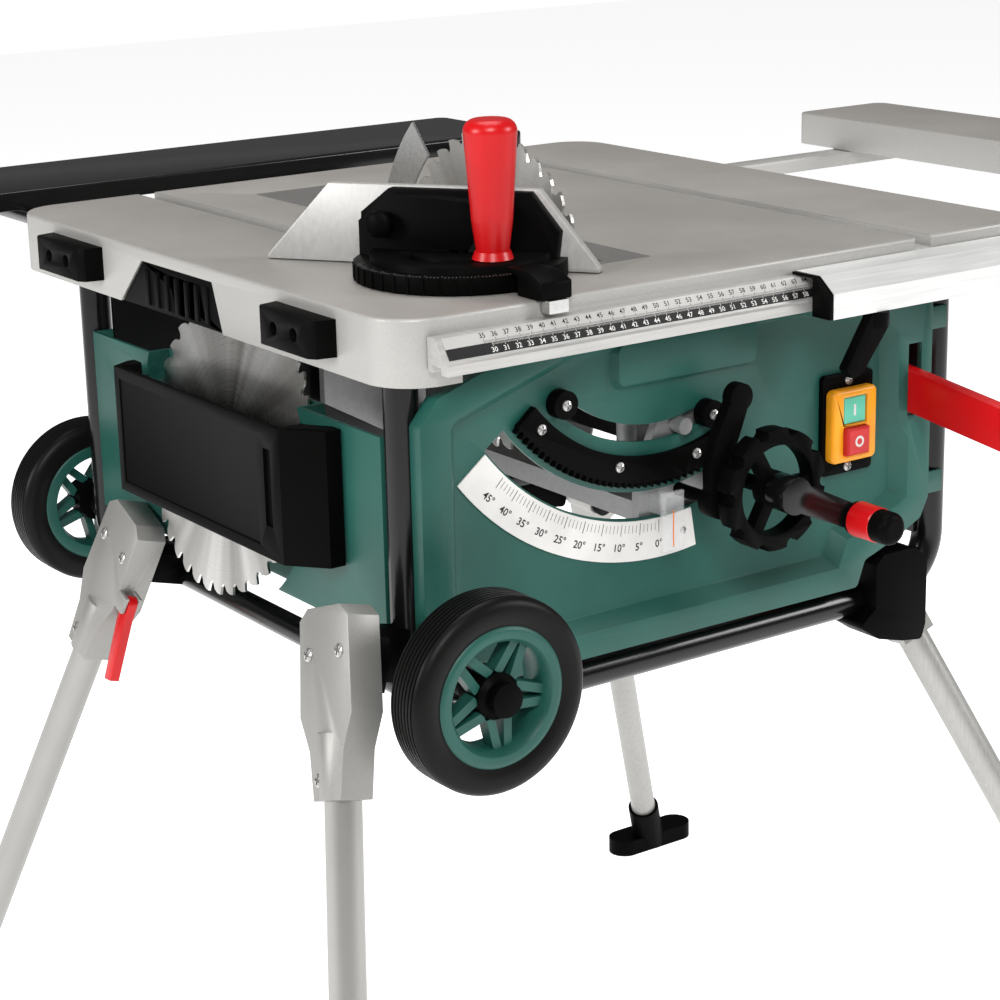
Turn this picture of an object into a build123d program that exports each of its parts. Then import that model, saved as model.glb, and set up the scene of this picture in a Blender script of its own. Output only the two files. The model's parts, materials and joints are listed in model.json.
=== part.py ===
# Portable table saw on a folding stand, in millimetres.
# X runs across the machine, Y from the operator to the back, Z up.
# The origin is on the table surface, in the plane of the blade, above the front hoop.

import os
from math import cos, pi, radians, sin

from build123d import *

os.makedirs("parts", exist_ok=True)

# Table
table_left = -233.0
table_right = 378.0
table_front = -28.0
table_back = 580.0
table_corner = 38.0
table_plate = 6.0
skirt_depth = 48.0
skirt_wall = 3.5
slot_width = 17.0
slot_depth = 9.0
left_slot_x = -105.0
right_slot_x = 251.0
insert_left = -36.0
insert_right = 44.0
insert_front = 48.0
insert_back = 506.0
insert_thick = 4.0
insert_ledge = 5.0
blade_slot_left = -24.0
blade_slot_right = 6.0
blade_slot_front = 58.0
blade_slot_back = 392.0

# Stand and frame
floor_z = -800.0
hoop_left = -213.0
hoop_right = 291.5
hoop_back = 470.0
hoop_bottom = -294.0
hoop_radius = 12.5
hoop_wall = 2.0
hoop_bend = 45.0
side_tube_radius = 10.0
side_tube_left = -203.2
side_tube_right = 281.7
side_tube_z = -277.0

# Blade, tilt and lift
blade_radius = 127.0
blade_y = 192.0
blade_z = -43.0
blade_bore = 15.0
tilt_z = 14.0
rack_inner = 146.0
rack_pitch = 168.0
rack_teeth = 168
pinion_teeth = 14
gear_module = 2.0
pinion_pitch = gear_module * pinion_teeth / 2
shaft_radius_from_tilt = rack_pitch + pinion_pitch
shaft_angle = 19.5
field_y = -14.0
rim_y = -26.0
panel_back = -12.5
lower_slot_inner = 173.5
lower_slot_outer = 194.0
upper_slot_inner = 123.0
upper_slot_width = 13.0
upper_slot_outer = upper_slot_inner + upper_slot_width
scale_inner = 195.5
scale_outer = 226.0
guide_gap = 0.3
running = 0.05
screw_y = 62.0
screw_radius = 6.0
column_x = 75.0
column_radius = 8.0
column_ys = (120.0, 330.0)

# Wheels
wheel_x = hoop_left
wheel_z = -244.0
wheel_radius = 70.0
wheel_width = 36.0
rim_radius = 50.0
stub_radius = 7.0
front_wheel_y = -98.0
rear_wheel_y = 568.0 - 64.0

# Gauge
gauge_pivot = (left_slot_x, 82.0)
fence_turn = -54.5
gauge_radius = 78.0
stud_distance = 41.0

# Rails and extensions
rail_left = -208.0
rail_front = -52.0
rail_bottom = -36.0
rail_top = -12.0
profile_left = 119.0
extension_left = 661.0
extension_right = 781.0
bar_front = 500.0
bar_back = 526.0
bar_top = -33.5
bar_bottom = -47.0
rear_tube_radius = 7.5
rear_tube_z = -24.5
rear_tube_xs = (-175.0, 335.0)
rear_extension_front = 666.0
rear_extension_back = 816.0


def front_plane(y):
    """Sketch plane seen from the operator: sketch x is X, sketch y is Z, extrudes forward."""
    return Plane(origin=(0, y, 0), x_dir=(1, 0, 0), z_dir=(0, -1, 0))


def side_plane(x):
    """Sketch plane seen from the right: sketch x is Y, sketch y is Z, extrudes to +X."""
    return Plane(origin=(x, 0, 0), x_dir=(0, 1, 0), z_dir=(1, 0, 0))


def block(x0, x1, y0, y1, z0, z1, mode=Mode.ADD):
    """Box between two corners."""
    with Locations(((x0 + x1) / 2, (y0 + y1) / 2, (z0 + z1) / 2)):
        Box(x1 - x0, y1 - y0, z1 - z0, mode=mode)


def rod(start, end, radius, mode=Mode.ADD):
    """Round bar between two points."""
    line = Vector(*end) - Vector(*start)
    with BuildSketch(Plane(origin=start, z_dir=line)) as section:
        Circle(radius)
    extrude(section.sketch, amount=line.length, mode=mode)


def outline(points):
    """Closed face through the points, in the active sketch."""
    with BuildLine() as border:
        Polyline(*points, close=True)
    make_face(border.edges())


def prism(plane, points, amount, mode=Mode.ADD, rounding=0.0):
    """Straight extrusion of an outline."""
    with BuildSketch(plane) as face:
        outline(points)
        if rounding > 0:
            fillet(face.vertices(), rounding)
    extrude(face.sketch, amount=amount, mode=mode)


def polar(radius, degrees, centre=(0.0, tilt_z)):
    """Point at an angle from straight down, positive to the right."""
    return (centre[0] + radius * sin(radians(degrees)), centre[1] - radius * cos(radians(degrees)))


def ring_sector(r0, r1, a0, a1, centre=(0.0, tilt_z)):
    """Face between two arcs, in the active sketch."""
    middle = (a0 + a1) / 2
    with BuildLine() as border:
        ThreePointArc(polar(r1, a0, centre), polar(r1, middle, centre), polar(r1, a1, centre))
        Line(polar(r1, a1, centre), polar(r0, a1, centre))
        ThreePointArc(polar(r0, a1, centre), polar(r0, middle, centre), polar(r0, a0, centre))
        Line(polar(r0, a0, centre), polar(r1, a0, centre))
    make_face(border.edges())


def tooth(radius_root, radius_tip, half_root, half_tip, degrees, centre):
    """Straight-sided gear tooth as a face, in the active sketch."""
    points = []
    for radius, half in ((radius_root, half_root), (radius_tip, half_tip)):
        spread = 180 / pi * half / radius
        points.append((polar(radius, degrees - spread, centre), polar(radius, degrees + spread, centre)))
    outline([points[0][0], points[1][0], points[1][1], points[0][1]])


def save(builder, name):
    """Label one piece and write its file."""
    builder.part.label = name
    export_step(builder.part, "parts/" + name + ".step")
    print(name, len(builder.part.solids()), round(builder.part.volume / 1000, 1))


table_middle = ((table_left + table_right) / 2, (table_front + table_back) / 2)
table_width = table_right - table_left
table_depth = table_back - table_front
channel_bottom = -(slot_depth + 4.0)

# Cast table: plate, skirt, two mitre slots and the seat for the insert
with BuildPart() as table_top:
    with BuildSketch(Plane.XY.offset(-skirt_depth)):
        with Locations(table_middle):
            RectangleRounded(table_width, table_depth, table_corner)
    extrude(amount=skirt_depth)
    fillet(table_top.faces().sort_by(Axis.Z)[-1].edges(), 2.5)
    with BuildSketch(Plane.XY.offset(-skirt_depth)):
        with Locations(table_middle):
            RectangleRounded(table_width - 2 * skirt_wall, table_depth - 2 * skirt_wall, table_corner - skirt_wall)
    extrude(amount=skirt_depth - table_plate, mode=Mode.SUBTRACT)
    for slot_x in (left_slot_x, right_slot_x):
        block(slot_x - slot_width / 2 - 5, slot_x + slot_width / 2 + 5,
              table_front + 1, table_back - 1, channel_bottom, -table_plate)
        block(slot_x - slot_width / 2, slot_x + slot_width / 2,
              table_front - 1, table_back + 1, -slot_depth, 1, Mode.SUBTRACT)
    block(insert_left - 6, insert_right + 6, insert_front - 6, insert_back + 6, -8, -table_plate)
    block(insert_left, insert_right, insert_front, insert_back, -insert_thick, 1, Mode.SUBTRACT)
    block(insert_left + insert_ledge, insert_right - insert_ledge, insert_front + insert_ledge,
          insert_back - insert_ledge, -9, 1, Mode.SUBTRACT)
    # Arched notch in the left skirt
    prism(side_plane(table_left - 1), [(212, -49), (226, -10), (340, -10), (381, -49)], skirt_wall + 2, Mode.SUBTRACT)
    # The front skirt is shallow above the panel
    block(-180, 272, table_front - 1, table_front + 5, -skirt_depth - 1, -37, Mode.SUBTRACT)
    # Way through the right skirt for the extension bar, and through the back for its two tubes
    block(table_right - 6, table_right + 1, bar_front - 1, bar_back + 1, -skirt_depth - 1, bar_top + 1, Mode.SUBTRACT)
    for tube_x in rear_tube_xs:
        rod((tube_x, table_back + 1, rear_tube_z), (tube_x, table_back - 6, rear_tube_z), rear_tube_radius + 1.5,
            Mode.SUBTRACT)
save(table_top, "table_top")

with BuildPart() as table_insert:
    block(insert_left + 0.2, insert_right - 0.2, insert_front + 0.2, insert_back - 0.2, -insert_thick, 0)
    fillet(table_insert.edges().filter_by(Axis.Z), 3)
    block(blade_slot_left, blade_slot_right, blade_slot_front, blade_slot_back, -5, 1, Mode.SUBTRACT)
    rod((25, 470, -5), (25, 470, 1), 12, Mode.SUBTRACT)
save(table_insert, "table_insert")

# Front rail with its sloped scale face, and the guides below the table
rail_section = [(table_front, rail_top), (-37, rail_top), (-48, -28), (rail_front, -29), (rail_front, rail_bottom),
                (table_front, rail_bottom)]
with BuildPart() as table_rails:
    prism(side_plane(rail_left), rail_section, table_right - rail_left)
    block(rail_left - 1, table_right + 1, -44, -33, -37, -31, Mode.SUBTRACT)
    for tube_x in rear_tube_xs:
        for start in (300.0, table_back - skirt_wall - 20):
            block(tube_x - 12, tube_x + 12, start, start + 18, -33, -table_plate)
            rod((tube_x, start - 1, rear_tube_z), (tube_x, start + 19, rear_tube_z), rear_tube_radius + running,
                Mode.SUBTRACT)
    for start in (165.0, table_right - skirt_wall - 22):
        block(start, start + 22, bar_front - 5, bar_back + 5, bar_bottom - 4, -table_plate)
        block(start - 1, start + 23, bar_front - guide_gap, bar_back + guide_gap,
              bar_bottom - guide_gap, bar_top + guide_gap, Mode.SUBTRACT)
save(table_rails, "table_rails")


def hoop_solid(y, radius):
    """U-shaped bar with its ends at the table's underside."""
    with BuildPart() as bar:
        with BuildLine() as path:
            FilletPolyline((hoop_left, y, -table_plate), (hoop_left, y, hoop_bottom), (hoop_right, y, hoop_bottom),
                           (hoop_right, y, -table_plate), radius=hoop_bend)
        with BuildSketch(Plane(origin=(hoop_left, y, -table_plate), z_dir=(0, 0, -1))):
            Circle(radius)
        sweep(path=path.wires()[0])
    return bar.part


front_bar = hoop_solid(0, hoop_radius)
rear_bar = hoop_solid(hoop_back, hoop_radius)

with BuildPart() as front_hoop:
    add(front_bar)
    add(hoop_solid(0, hoop_radius - hoop_wall), mode=Mode.SUBTRACT)
save(front_hoop, "front_hoop")

with BuildPart() as rear_hoop:
    add(rear_bar)
    add(hoop_solid(hoop_back, hoop_radius - hoop_wall), mode=Mode.SUBTRACT)
save(rear_hoop, "rear_hoop")

with BuildPart() as side_tubes:
    for tube_x in (side_tube_left, side_tube_right):
        rod((tube_x, 0, side_tube_z), (tube_x, hoop_back, side_tube_z), side_tube_radius)
        rod((tube_x, 0, side_tube_z), (tube_x, hoop_back, side_tube_z), side_tube_radius - hoop_wall, Mode.SUBTRACT)
    add(front_bar, mode=Mode.SUBTRACT)
    add(rear_bar, mode=Mode.SUBTRACT)
save(side_tubes, "side_tubes")

# Front panel: raised rim round a sunken field with two curved slots
rim_points = [(-215, -76), (-200, -57), (-155, -42), (-140, -38), (262, -38), (266, -44), (266, -212), (258, -228),
              (231, -241), (199, -252), (191, -273), (-188, -272), (-215, -244)]
pocket_points = [(-190, -80), (-184, -73), (-76, -39), (140, -39), (215, -58), (230, -74), (232, -146), (243, -160),
                 (243, -208), (216, -221), (180, -232), (171, -254), (-176, -254), (-190, -242)]
field_points = [(-178, -85), (-70, -47), (136, -47), (208, -64), (219, -79), (221, -152), (232, -165), (232, -202),
                (210, -211), (171, -222), (162, -244), (-170, -244), (-178, -236)]
with BuildPart() as front_panel:
    prism(front_plane(panel_back), rim_points, panel_back - rim_y, rounding=5)
    # The pocket narrows from the rim to the field
    with BuildSketch(front_plane(rim_y - 0.5)):
        outline(pocket_points)
    extrude(amount=-(field_y - rim_y) - 0.5, taper=38, mode=Mode.SUBTRACT)
    # Back of the rim is hollow
    with BuildSketch(front_plane(panel_back + 0.5)) as hollow:
        outline(rim_points)
        offset(amount=-3, kind=Kind.INTERSECTION, mode=Mode.REPLACE)
        with BuildSketch(mode=Mode.PRIVATE) as keep:
            outline(pocket_points)
            offset(amount=3, kind=Kind.INTERSECTION, mode=Mode.REPLACE)
        add(keep.sketch, mode=Mode.SUBTRACT)
    extrude(amount=10.9, mode=Mode.SUBTRACT)
    # Field plate closes the pocket floor
    prism(front_plane(-10.5), field_points, 3.5)
    # Raised pad at the top of the field
    with BuildSketch(front_plane(field_y)):
        with Locations((25, -60)):
            RectangleRounded(138, 38, 10)
    extrude(amount=7, taper=30)
    with BuildSketch(front_plane(-5)):
        ring_sector(lower_slot_inner, lower_slot_outer, -52.5, 27)
        ring_sector(upper_slot_inner, upper_slot_outer, -41, 18)
    extrude(amount=12, mode=Mode.SUBTRACT)
    # Way for the push stick, and tabs to the right post
    block(241, 255, -40, -5, -141.5, -84, Mode.SUBTRACT)
    rod((wheel_x, 0, wheel_z), (wheel_x, -40, wheel_z), 12, Mode.SUBTRACT)
    for tab_z in (-70, -205):
        block(262, hoop_right, -15.5, panel_back, tab_z - 9, tab_z + 9)
save(front_panel, "front_panel")

# Curved rack with its end caps, and the angle scale
with BuildPart() as tilt_rack:
    with BuildSketch(front_plane(field_y)):
        ring_sector(rack_inner, rack_pitch - 2.6, -51, 22)
        step = 360 / rack_teeth
        for number in range(-32, 1):
            tooth(rack_pitch - 2.8, rack_pitch + 1.6, 1.75, 0.65, shaft_angle + (number - 0.5) * step, (0, tilt_z))
    extrude(amount=6)
    for degrees in (-44, 20):
        cap_x, cap_z = polar(130, degrees)
        rod((cap_x, field_y, cap_z), (cap_x, field_y - 11, cap_z), 10.5)
save(tilt_rack, "tilt_rack")

with BuildPart() as tilt_scale:
    with BuildSketch(front_plane(field_y)):
        ring_sector(scale_inner, scale_outer, -52, 9)
    extrude(amount=1.2)
save(tilt_scale, "tilt_scale")

# Switch: plate, frame and two push buttons
switch_x = 184.0
switch_z = -139.0
with BuildPart() as switch_plate:
    with BuildSketch(front_plane(field_y)):
        with Locations((switch_x, switch_z)):
            RectangleRounded(52, 80, 4)
    extrude(amount=5)
    block(switch_x - 15, switch_x + 15, -30, -15, switch_z - 24, switch_z + 24, Mode.SUBTRACT)
save(switch_plate, "switch_plate")

with BuildPart() as switch_frame:
    with BuildSketch(front_plane(field_y - 5)):
        with Locations((switch_x, switch_z)):
            RectangleRounded(46, 58, 5)
    extrude(amount=9)
    chamfer(switch_frame.faces().sort_by(Axis.Y)[0].edges(), 2)
    block(switch_x - 12, switch_x + 12, -40, -15, switch_z + 1, switch_z + 23, Mode.SUBTRACT)
    block(switch_x - 12, switch_x + 12, -40, -15, switch_z - 23, switch_z - 1, Mode.SUBTRACT)
save(switch_frame, "switch_frame")

with BuildPart() as on_button:
    block(switch_x - 11.6, switch_x + 11.6, -27, -18.5, switch_z + 1.4, switch_z + 22.6)
    chamfer(on_button.faces().sort_by(Axis.Y)[0].edges(), 1)
save(on_button, "on_button")

with BuildPart() as off_button:
    block(switch_x - 11.6, switch_x + 11.6, -33, -18.5, switch_z - 22.6, switch_z - 1.4)
    chamfer(off_button.faces().sort_by(Axis.Y)[0].edges(), 1.5)
save(off_button, "off_button")

# Screw heads on the rack, caps and switch plate
with BuildPart() as panel_screws:
    for degrees, front in ((-45, 6), (-15, 6), (12, 6)):
        screw_x, screw_z = polar(154, degrees)
        rod((screw_x, field_y - front, screw_z), (screw_x, field_y - front - 2.5, screw_z), 4)
    for degrees in (-44, 20):
        screw_x, screw_z = polar(130, degrees)
        rod((screw_x, field_y - 11, screw_z), (screw_x, field_y - 13.5, screw_z), 4)
    for screw_z in (switch_z - 34.5, switch_z + 34.5):
        rod((switch_x, field_y - 5, screw_z), (switch_x, field_y - 7.5, screw_z), 3.5)
save(panel_screws, "panel_screws")

# Left panel with the round bay for the spare blade
spare_centre = (-218.0, 241.0, -137.0)
spare_radius = 120.0
spare_lean = 0.2
spare_axis = Vector(1, 0, -spare_lean).normalized()
box_hinge = (-230.0, 366.0)
panel_left_x = -223.0
with BuildPart() as left_panel:
    block(panel_left_x, panel_left_x + 3, 13, 457, -238, -88)
    block(panel_left_x, -206, hoop_radius, hoop_radius + 3, -238, -88)
    block(panel_left_x, -206, hoop_back - hoop_radius - 3, hoop_back - hoop_radius, -238, -88)
    with BuildSketch(side_plane(panel_left_x)):
        with Locations((spare_centre[1], spare_centre[2])):
            Circle(spare_radius + 9)
    extrude(amount=21)
    with BuildSketch(side_plane(panel_left_x - 1)):
        with Locations((spare_centre[1], spare_centre[2])):
            Circle(spare_radius + 6)
    extrude(amount=19, mode=Mode.SUBTRACT)
    block(panel_left_x - 1, -180, 60, 420, -88, 20, Mode.SUBTRACT)
    block(panel_left_x - 1, -180, 60, 420, -300, -238, Mode.SUBTRACT)
    # Boss and pin that carry the spare blade
    boss_start = Vector(*spare_centre) + spare_axis * 20
    rod(tuple(boss_start), tuple(Vector(*spare_centre) + spare_axis * 1.0), 22)
    rod(tuple(boss_start), tuple(Vector(*spare_centre) - spare_axis * 7), blade_bore - 0.1)
    block(-202, -160, 180, 300, -238, -88, Mode.SUBTRACT)
    # Two hinge ears with a pin for the storage box
    for ear_z in (-104.0, -188.0):
        block(box_hinge[0] - 5, panel_left_x + 1, box_hinge[1] - 5, box_hinge[1] + 5, ear_z - 3, ear_z + 3)
    rod((box_hinge[0], box_hinge[1], -188), (box_hinge[0], box_hinge[1], -104), 3)
save(left_panel, "left_panel")

with BuildPart() as spare_blade:
    blade_back = Vector(*spare_centre) + spare_axis * 1.0
    with BuildSketch(Plane(origin=tuple(blade_back), x_dir=(0, 1, 0), z_dir=tuple(spare_axis * -1))):
        Circle(spare_radius)
        Circle(blade_bore, mode=Mode.SUBTRACT)
        with PolarLocations(spare_radius, 40):
            Rectangle(11, 6, mode=Mode.SUBTRACT)
    extrude(amount=2)
save(spare_blade, "spare_blade")

# Storage box that swings out on its back end
with BuildPart() as storage_box:
    prism(Plane.XY.offset(-193), [(-236.5, 63), (-224, 63), (-224, 74), (-236.5, 92), (-236.5, 350), (-236.5, 360),
                                  (-259, 348), (-259, 91)], 101)
    block(-254.5, -236, 95, 344, -190, -90, Mode.SUBTRACT)
    # Grip recess and raised border on the outer face
    block(-260, -256.5, 104, 114, -168, -110, Mode.SUBTRACT)
    block(-260, -258, 124, 340, -185, -101, Mode.SUBTRACT)
    rod((box_hinge[0], box_hinge[1], -184.5), (box_hinge[0], box_hinge[1], -107.5), 6)
    block(-240, box_hinge[0], 352, 366, -184.5, -107.5)
    rod((box_hinge[0], box_hinge[1], -190), (box_hinge[0], box_hinge[1], -100), 3 + running, Mode.SUBTRACT)
    block(-242, -222, 357, 376, -194, -184.5, Mode.SUBTRACT)
    block(-242, -222, 357, 376, -107.5, -91, Mode.SUBTRACT)
save(storage_box, "storage_box")

# Right and back covers
with BuildPart() as body_covers:
    block(276, 279, 0, 454.5, -250, -60)
    block(-205, hoop_right, 454.5, 457.5, -262, -60)
    with BuildSketch(front_plane(460)):
        ring_sector(143, 157, -53, 34)
    extrude(amount=10, mode=Mode.SUBTRACT)
    rod((150, 450, -215), (150, 460, -215), 17, Mode.SUBTRACT)
save(body_covers, "body_covers")

with BuildPart() as dust_port:
    rod((150, 457.5, -215), (150, 461.5, -215), 28)
    rod((150, 457.5, -215), (150, 515, -215), 19)
    rod((150, 457, -215), (150, 516, -215), 16.5, Mode.SUBTRACT)
save(dust_port, "dust_port")

with BuildPart() as rest_feet:
    for start, end in ((48, 130), (408, 499)):
        prism(Plane.XY.offset(-36), [(table_left, start), (table_left - 15, start + 3), (table_left - 19, start + 9),
                                     (table_left - 19, end - 9), (table_left - 15, end - 3), (table_left, end)], 27)
        for hole in (0.33, 0.67):
            rod((table_left - 20, start + (end - start) * hole, -22),
                (table_left - 13, start + (end - start) * hole, -22), 5, Mode.SUBTRACT)
save(rest_feet, "rest_feet")

with BuildPart() as skirt_hatch:
    prism(side_plane(table_left + 1), [(213, -47.5), (226.5, -10.3), (339.5, -10.3), (378, -47.5)], skirt_wall - 1)
    for rib_y in range(236, 341, 16):
        block(table_left - 0.5, table_left + 1, rib_y - 3, rib_y + 3, -44, -16)
    block(table_left + skirt_wall, table_left + skirt_wall + 2, 208, 384, -46, -12)
save(skirt_hatch, "skirt_hatch")

# Tilting cradle: front and back plates on a bar, two lift columns
shaft_x, shaft_z = polar(shaft_radius_from_tilt, shaft_angle)
bolt_x, bolt_z = polar(180.5, 7.5)
with BuildPart() as tilt_frame:
    prism(front_plane(-1), [(-14, -150), (-14, -206), (92, -206), (92, -150), (40, -102), (8, -102)], 8)
    pin_x, pin_z = polar((upper_slot_inner + upper_slot_outer) / 2, 9)
    rod((pin_x, -1, pin_z), (pin_x, -22, pin_z), (upper_slot_outer - upper_slot_inner) / 2 - guide_gap)
    block(48, 92, -9, 446, -215, -199)
    prism(front_plane(446), [(-14, -110), (-14, -180), (48, -215), (92, -215), (92, -110)], 8)
    for degrees in (0, 24):
        pin_x, pin_z = polar(150, degrees)
        rod((pin_x, 446, pin_z), (pin_x, 462, pin_z), 7 - guide_gap)
    for column_y in column_ys:
        rod((column_x, column_y, -200), (column_x, column_y, -45), column_radius)
    rod((shaft_x, 1, shaft_z), (shaft_x, -10, shaft_z), 6 + running, Mode.SUBTRACT)
    rod((bolt_x, 1, bolt_z), (bolt_x, -10, bolt_z), 5 + running, Mode.SUBTRACT)
    rod((shaft_x, screw_y, -216), (shaft_x, screw_y, -198), screw_radius + running, Mode.SUBTRACT)
save(tilt_frame, "tilt_frame")

with BuildPart() as tilt_pointer:
    block(-5, 5, -30, -9, tilt_z - 191, tilt_z - 177)
    block(-10, 10, -32.5, -30, tilt_z - 217, tilt_z - 172)
save(tilt_pointer, "tilt_pointer")

lever_top = (bolt_x + 20, bolt_z + 76)
with BuildPart() as tilt_clamp_lever:
    rod((bolt_x, -1, bolt_z), (bolt_x, -60, bolt_z), 5)
    rod((bolt_x, -46, bolt_z), (bolt_x, -60, bolt_z), 12)
    prism(front_plane(-48), [(bolt_x - 8, bolt_z - 4), (bolt_x + 9, bolt_z - 4), (bolt_x + 7, bolt_z + 26),
                             (bolt_x + 17, bolt_z + 45), (lever_top[0] + 9, lever_top[1]), (lever_top[0] - 9, lever_top[1]),
                             (bolt_x - 4, bolt_z + 48), (bolt_x - 9, bolt_z + 24)], 10)
    rod((lever_top[0], -48, lever_top[1]), (lever_top[0], -58, lever_top[1]), 10.5)
save(tilt_clamp_lever, "tilt_clamp_lever")

# Handwheel on a hollow shaft with the tilt pinion
mesh_line = 180 + shaft_angle
with BuildPart() as handwheel:
    rod((shaft_x, -1, shaft_z), (shaft_x, -66, shaft_z), 6)
    with BuildSketch(front_plane(-15.8)):
        with Locations((shaft_x, shaft_z)):
            Circle(pinion_pitch - 2.4)
        for number in range(pinion_teeth):
            tooth(pinion_pitch - 2.8, pinion_pitch + 1.5, 1.7, 0.65, mesh_line + 360 * number / pinion_teeth,
                  (shaft_x, shaft_z))
    extrude(amount=4.2)
    with BuildSketch(front_plane(-64)):
        with Locations((shaft_x, shaft_z)):
            Circle(46)
            Circle(34, mode=Mode.SUBTRACT)
            with PolarLocations(46, 10):
                Circle(5, mode=Mode.SUBTRACT)
    extrude(amount=15)
    with BuildSketch(front_plane(-66)):
        with Locations((shaft_x, shaft_z)):
            Circle(14)
            with PolarLocations(0, 3):
                with Locations((24, 0)):
                    Rectangle(26, 10)
    extrude(amount=10)
    rod((shaft_x, 0, shaft_z), (shaft_x, -80, shaft_z), 4 + running, Mode.SUBTRACT)
save(handwheel, "handwheel")

# Height crank: shaft with bevel wheel, arm and the pin of its knob
crank_end = (shaft_x + 58, shaft_z - 27)
with BuildPart() as crank:
    rod((shaft_x, screw_y - 8, shaft_z), (shaft_x, -98, shaft_z), 4)
    with BuildSketch(Plane(origin=(shaft_x, screw_y - 15.4, shaft_z), z_dir=(0, 1, 0))):
        Circle(14.6)
    with BuildSketch(Plane(origin=(shaft_x, screw_y - 8.4, shaft_z), z_dir=(0, 1, 0))):
        Circle(7.6)
    loft()
    rod((shaft_x, -80, shaft_z), (shaft_x, -100, shaft_z), 14)
    prism(front_plane(-88), [(shaft_x - 4.6, shaft_z - 10), (crank_end[0] - 4, crank_end[1] - 8.5),
                             (crank_end[0] + 4, crank_end[1] + 8.5), (shaft_x + 4.6, shaft_z + 10)], 11)
    rod((crank_end[0], -88, crank_end[1]), (crank_end[0], -99, crank_end[1]), 10)
    rod((crank_end[0], -98, crank_end[1]), (crank_end[0], -136, crank_end[1]), 4)
    rod((crank_end[0], -136, crank_end[1]), (crank_end[0], -138.5, crank_end[1]), 6.5)
save(crank, "crank")

with BuildPart() as crank_knob:
    with BuildSketch(front_plane(-99.5)):
        with Locations(crank_end):
            Circle(12.5)
    extrude(amount=42)
    fillet(crank_knob.faces().sort_by(Axis.Y)[0].edges(), 6)
    rod((crank_end[0], -99, crank_end[1]), (crank_end[0], -136, crank_end[1]), 4 + running, Mode.SUBTRACT)
    rod((crank_end[0], -135.6, crank_end[1]), (crank_end[0], -139, crank_end[1]), 6.5 + running, Mode.SUBTRACT)
save(crank_knob, "crank_knob")

with BuildPart() as lift_screw:
    rod((shaft_x, screw_y, -215), (shaft_x, screw_y, -30), screw_radius)
    with BuildSketch(Plane.XY.offset(shaft_z - 15)):
        with Locations((shaft_x, screw_y)):
            Circle(14.6)
    with BuildSketch(Plane.XY.offset(shaft_z - 8)):
        with Locations((shaft_x, screw_y)):
            Circle(7.6)
    loft()
    rod((shaft_x, screw_y, -198.7), (shaft_x, screw_y, -190), 10)
save(lift_screw, "lift_screw")

# Lift carriage on the two columns, with the arbor housing and the nut arm
knife_y = 330.0
with BuildPart() as carriage:
    block(55, 95, 100, 352, -100, -70)
    block(50, 80, 78, 102, -100, -34)
    block(50, 72, 50, 102, -50, -34)
    rod((10, blade_y, blade_z), (62, blade_y, blade_z), 24)
    block(20, 95, blade_y - 20, blade_y + 20, -100, blade_z)
    block(1.1, 60, knife_y - 12, knife_y + 12, -108, -88)
    for column_y in column_ys:
        rod((column_x, column_y, -101), (column_x, column_y, -69), column_radius + running, Mode.SUBTRACT)
    rod((shaft_x, screw_y, -51), (shaft_x, screw_y, -33), screw_radius + running, Mode.SUBTRACT)
    rod((9, blade_y, blade_z), (63, blade_y, blade_z), 10 + running, Mode.SUBTRACT)
save(carriage, "carriage")

with BuildPart() as motor:
    rod((95, 215, -105), (186, 215, -105), 45)
    rod((186, 215, -105), (194, 215, -105), 36)
    fillet(motor.edges().filter_by(GeomType.CIRCLE).sort_by(Axis.X)[-1], 4)
    with BuildSketch(side_plane(104)):
        with Locations((215, -105)):
            with PolarLocations(46, 18):
                Rectangle(6, 4)
    extrude(amount=70, mode=Mode.SUBTRACT)
save(motor, "motor")

with BuildPart() as arbor:
    rod((-10, blade_y, blade_z), (60, blade_y, blade_z), 10)
    rod((1.2, blade_y, blade_z), (6, blade_y, blade_z), 18)
    rod((6, blade_y, blade_z), (9.7, blade_y, blade_z), 14)
    rod((-1.2, blade_y, blade_z), (1.2, blade_y, blade_z), blade_bore - 0.05)
    rod((-4, blade_y, blade_z), (-1.2, blade_y, blade_z), 18)
    with BuildSketch(side_plane(-9)):
        with Locations((blade_y, blade_z)):
            RegularPolygon(11, 6)
    extrude(amount=5)
save(arbor, "arbor")

with BuildPart() as saw_blade:
    with BuildSketch(side_plane(-1.2)):
        with Locations((blade_y, blade_z)):
            Circle(blade_radius)
            Circle(blade_bore, mode=Mode.SUBTRACT)
            with PolarLocations(blade_radius, 40):
                Rectangle(11, 6, mode=Mode.SUBTRACT)
    extrude(amount=2.4)
save(saw_blade, "saw_blade")

# Riving knife: a curved plate behind the blade
with BuildPart() as riving_knife:
    with BuildSketch(side_plane(-1.1)):
        ring_sector(blade_radius + 5, blade_radius + 38, 62, 138, (blade_y, blade_z))
    extrude(amount=2.2)
save(riving_knife, "riving_knife")

# Mitre gauge
along = Vector(cos(radians(fence_turn)), sin(radians(fence_turn)), 0)
across = Vector(-along.Y, along.X, 0)
gauge_centre = Vector(gauge_pivot[0], gauge_pivot[1], 0)
gauge_plane = Plane(origin=tuple(gauge_centre), x_dir=tuple(along), z_dir=(0, 0, 1))
with BuildPart() as gauge_bar:
    block(left_slot_x - 8.3, left_slot_x + 8.3, -38, 262, -8.7, 0.3)
    rod((gauge_pivot[0], gauge_pivot[1], -1), (gauge_pivot[0], gauge_pivot[1], 13), 8)
    rod((left_slot_x, gauge_pivot[1] - stud_distance, -1), (left_slot_x, gauge_pivot[1] - stud_distance, 40), 4)
save(gauge_bar, "gauge_bar")

with BuildPart() as gauge_pointer:
    prism(side_plane(left_slot_x - 13), [(-36, 0.3), (-36, 13), (-20, 19), (6, 19), (6, 14.5), (-6, 14.5), (-6, 0.3)],
          26)
save(gauge_pointer, "gauge_pointer")

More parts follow.
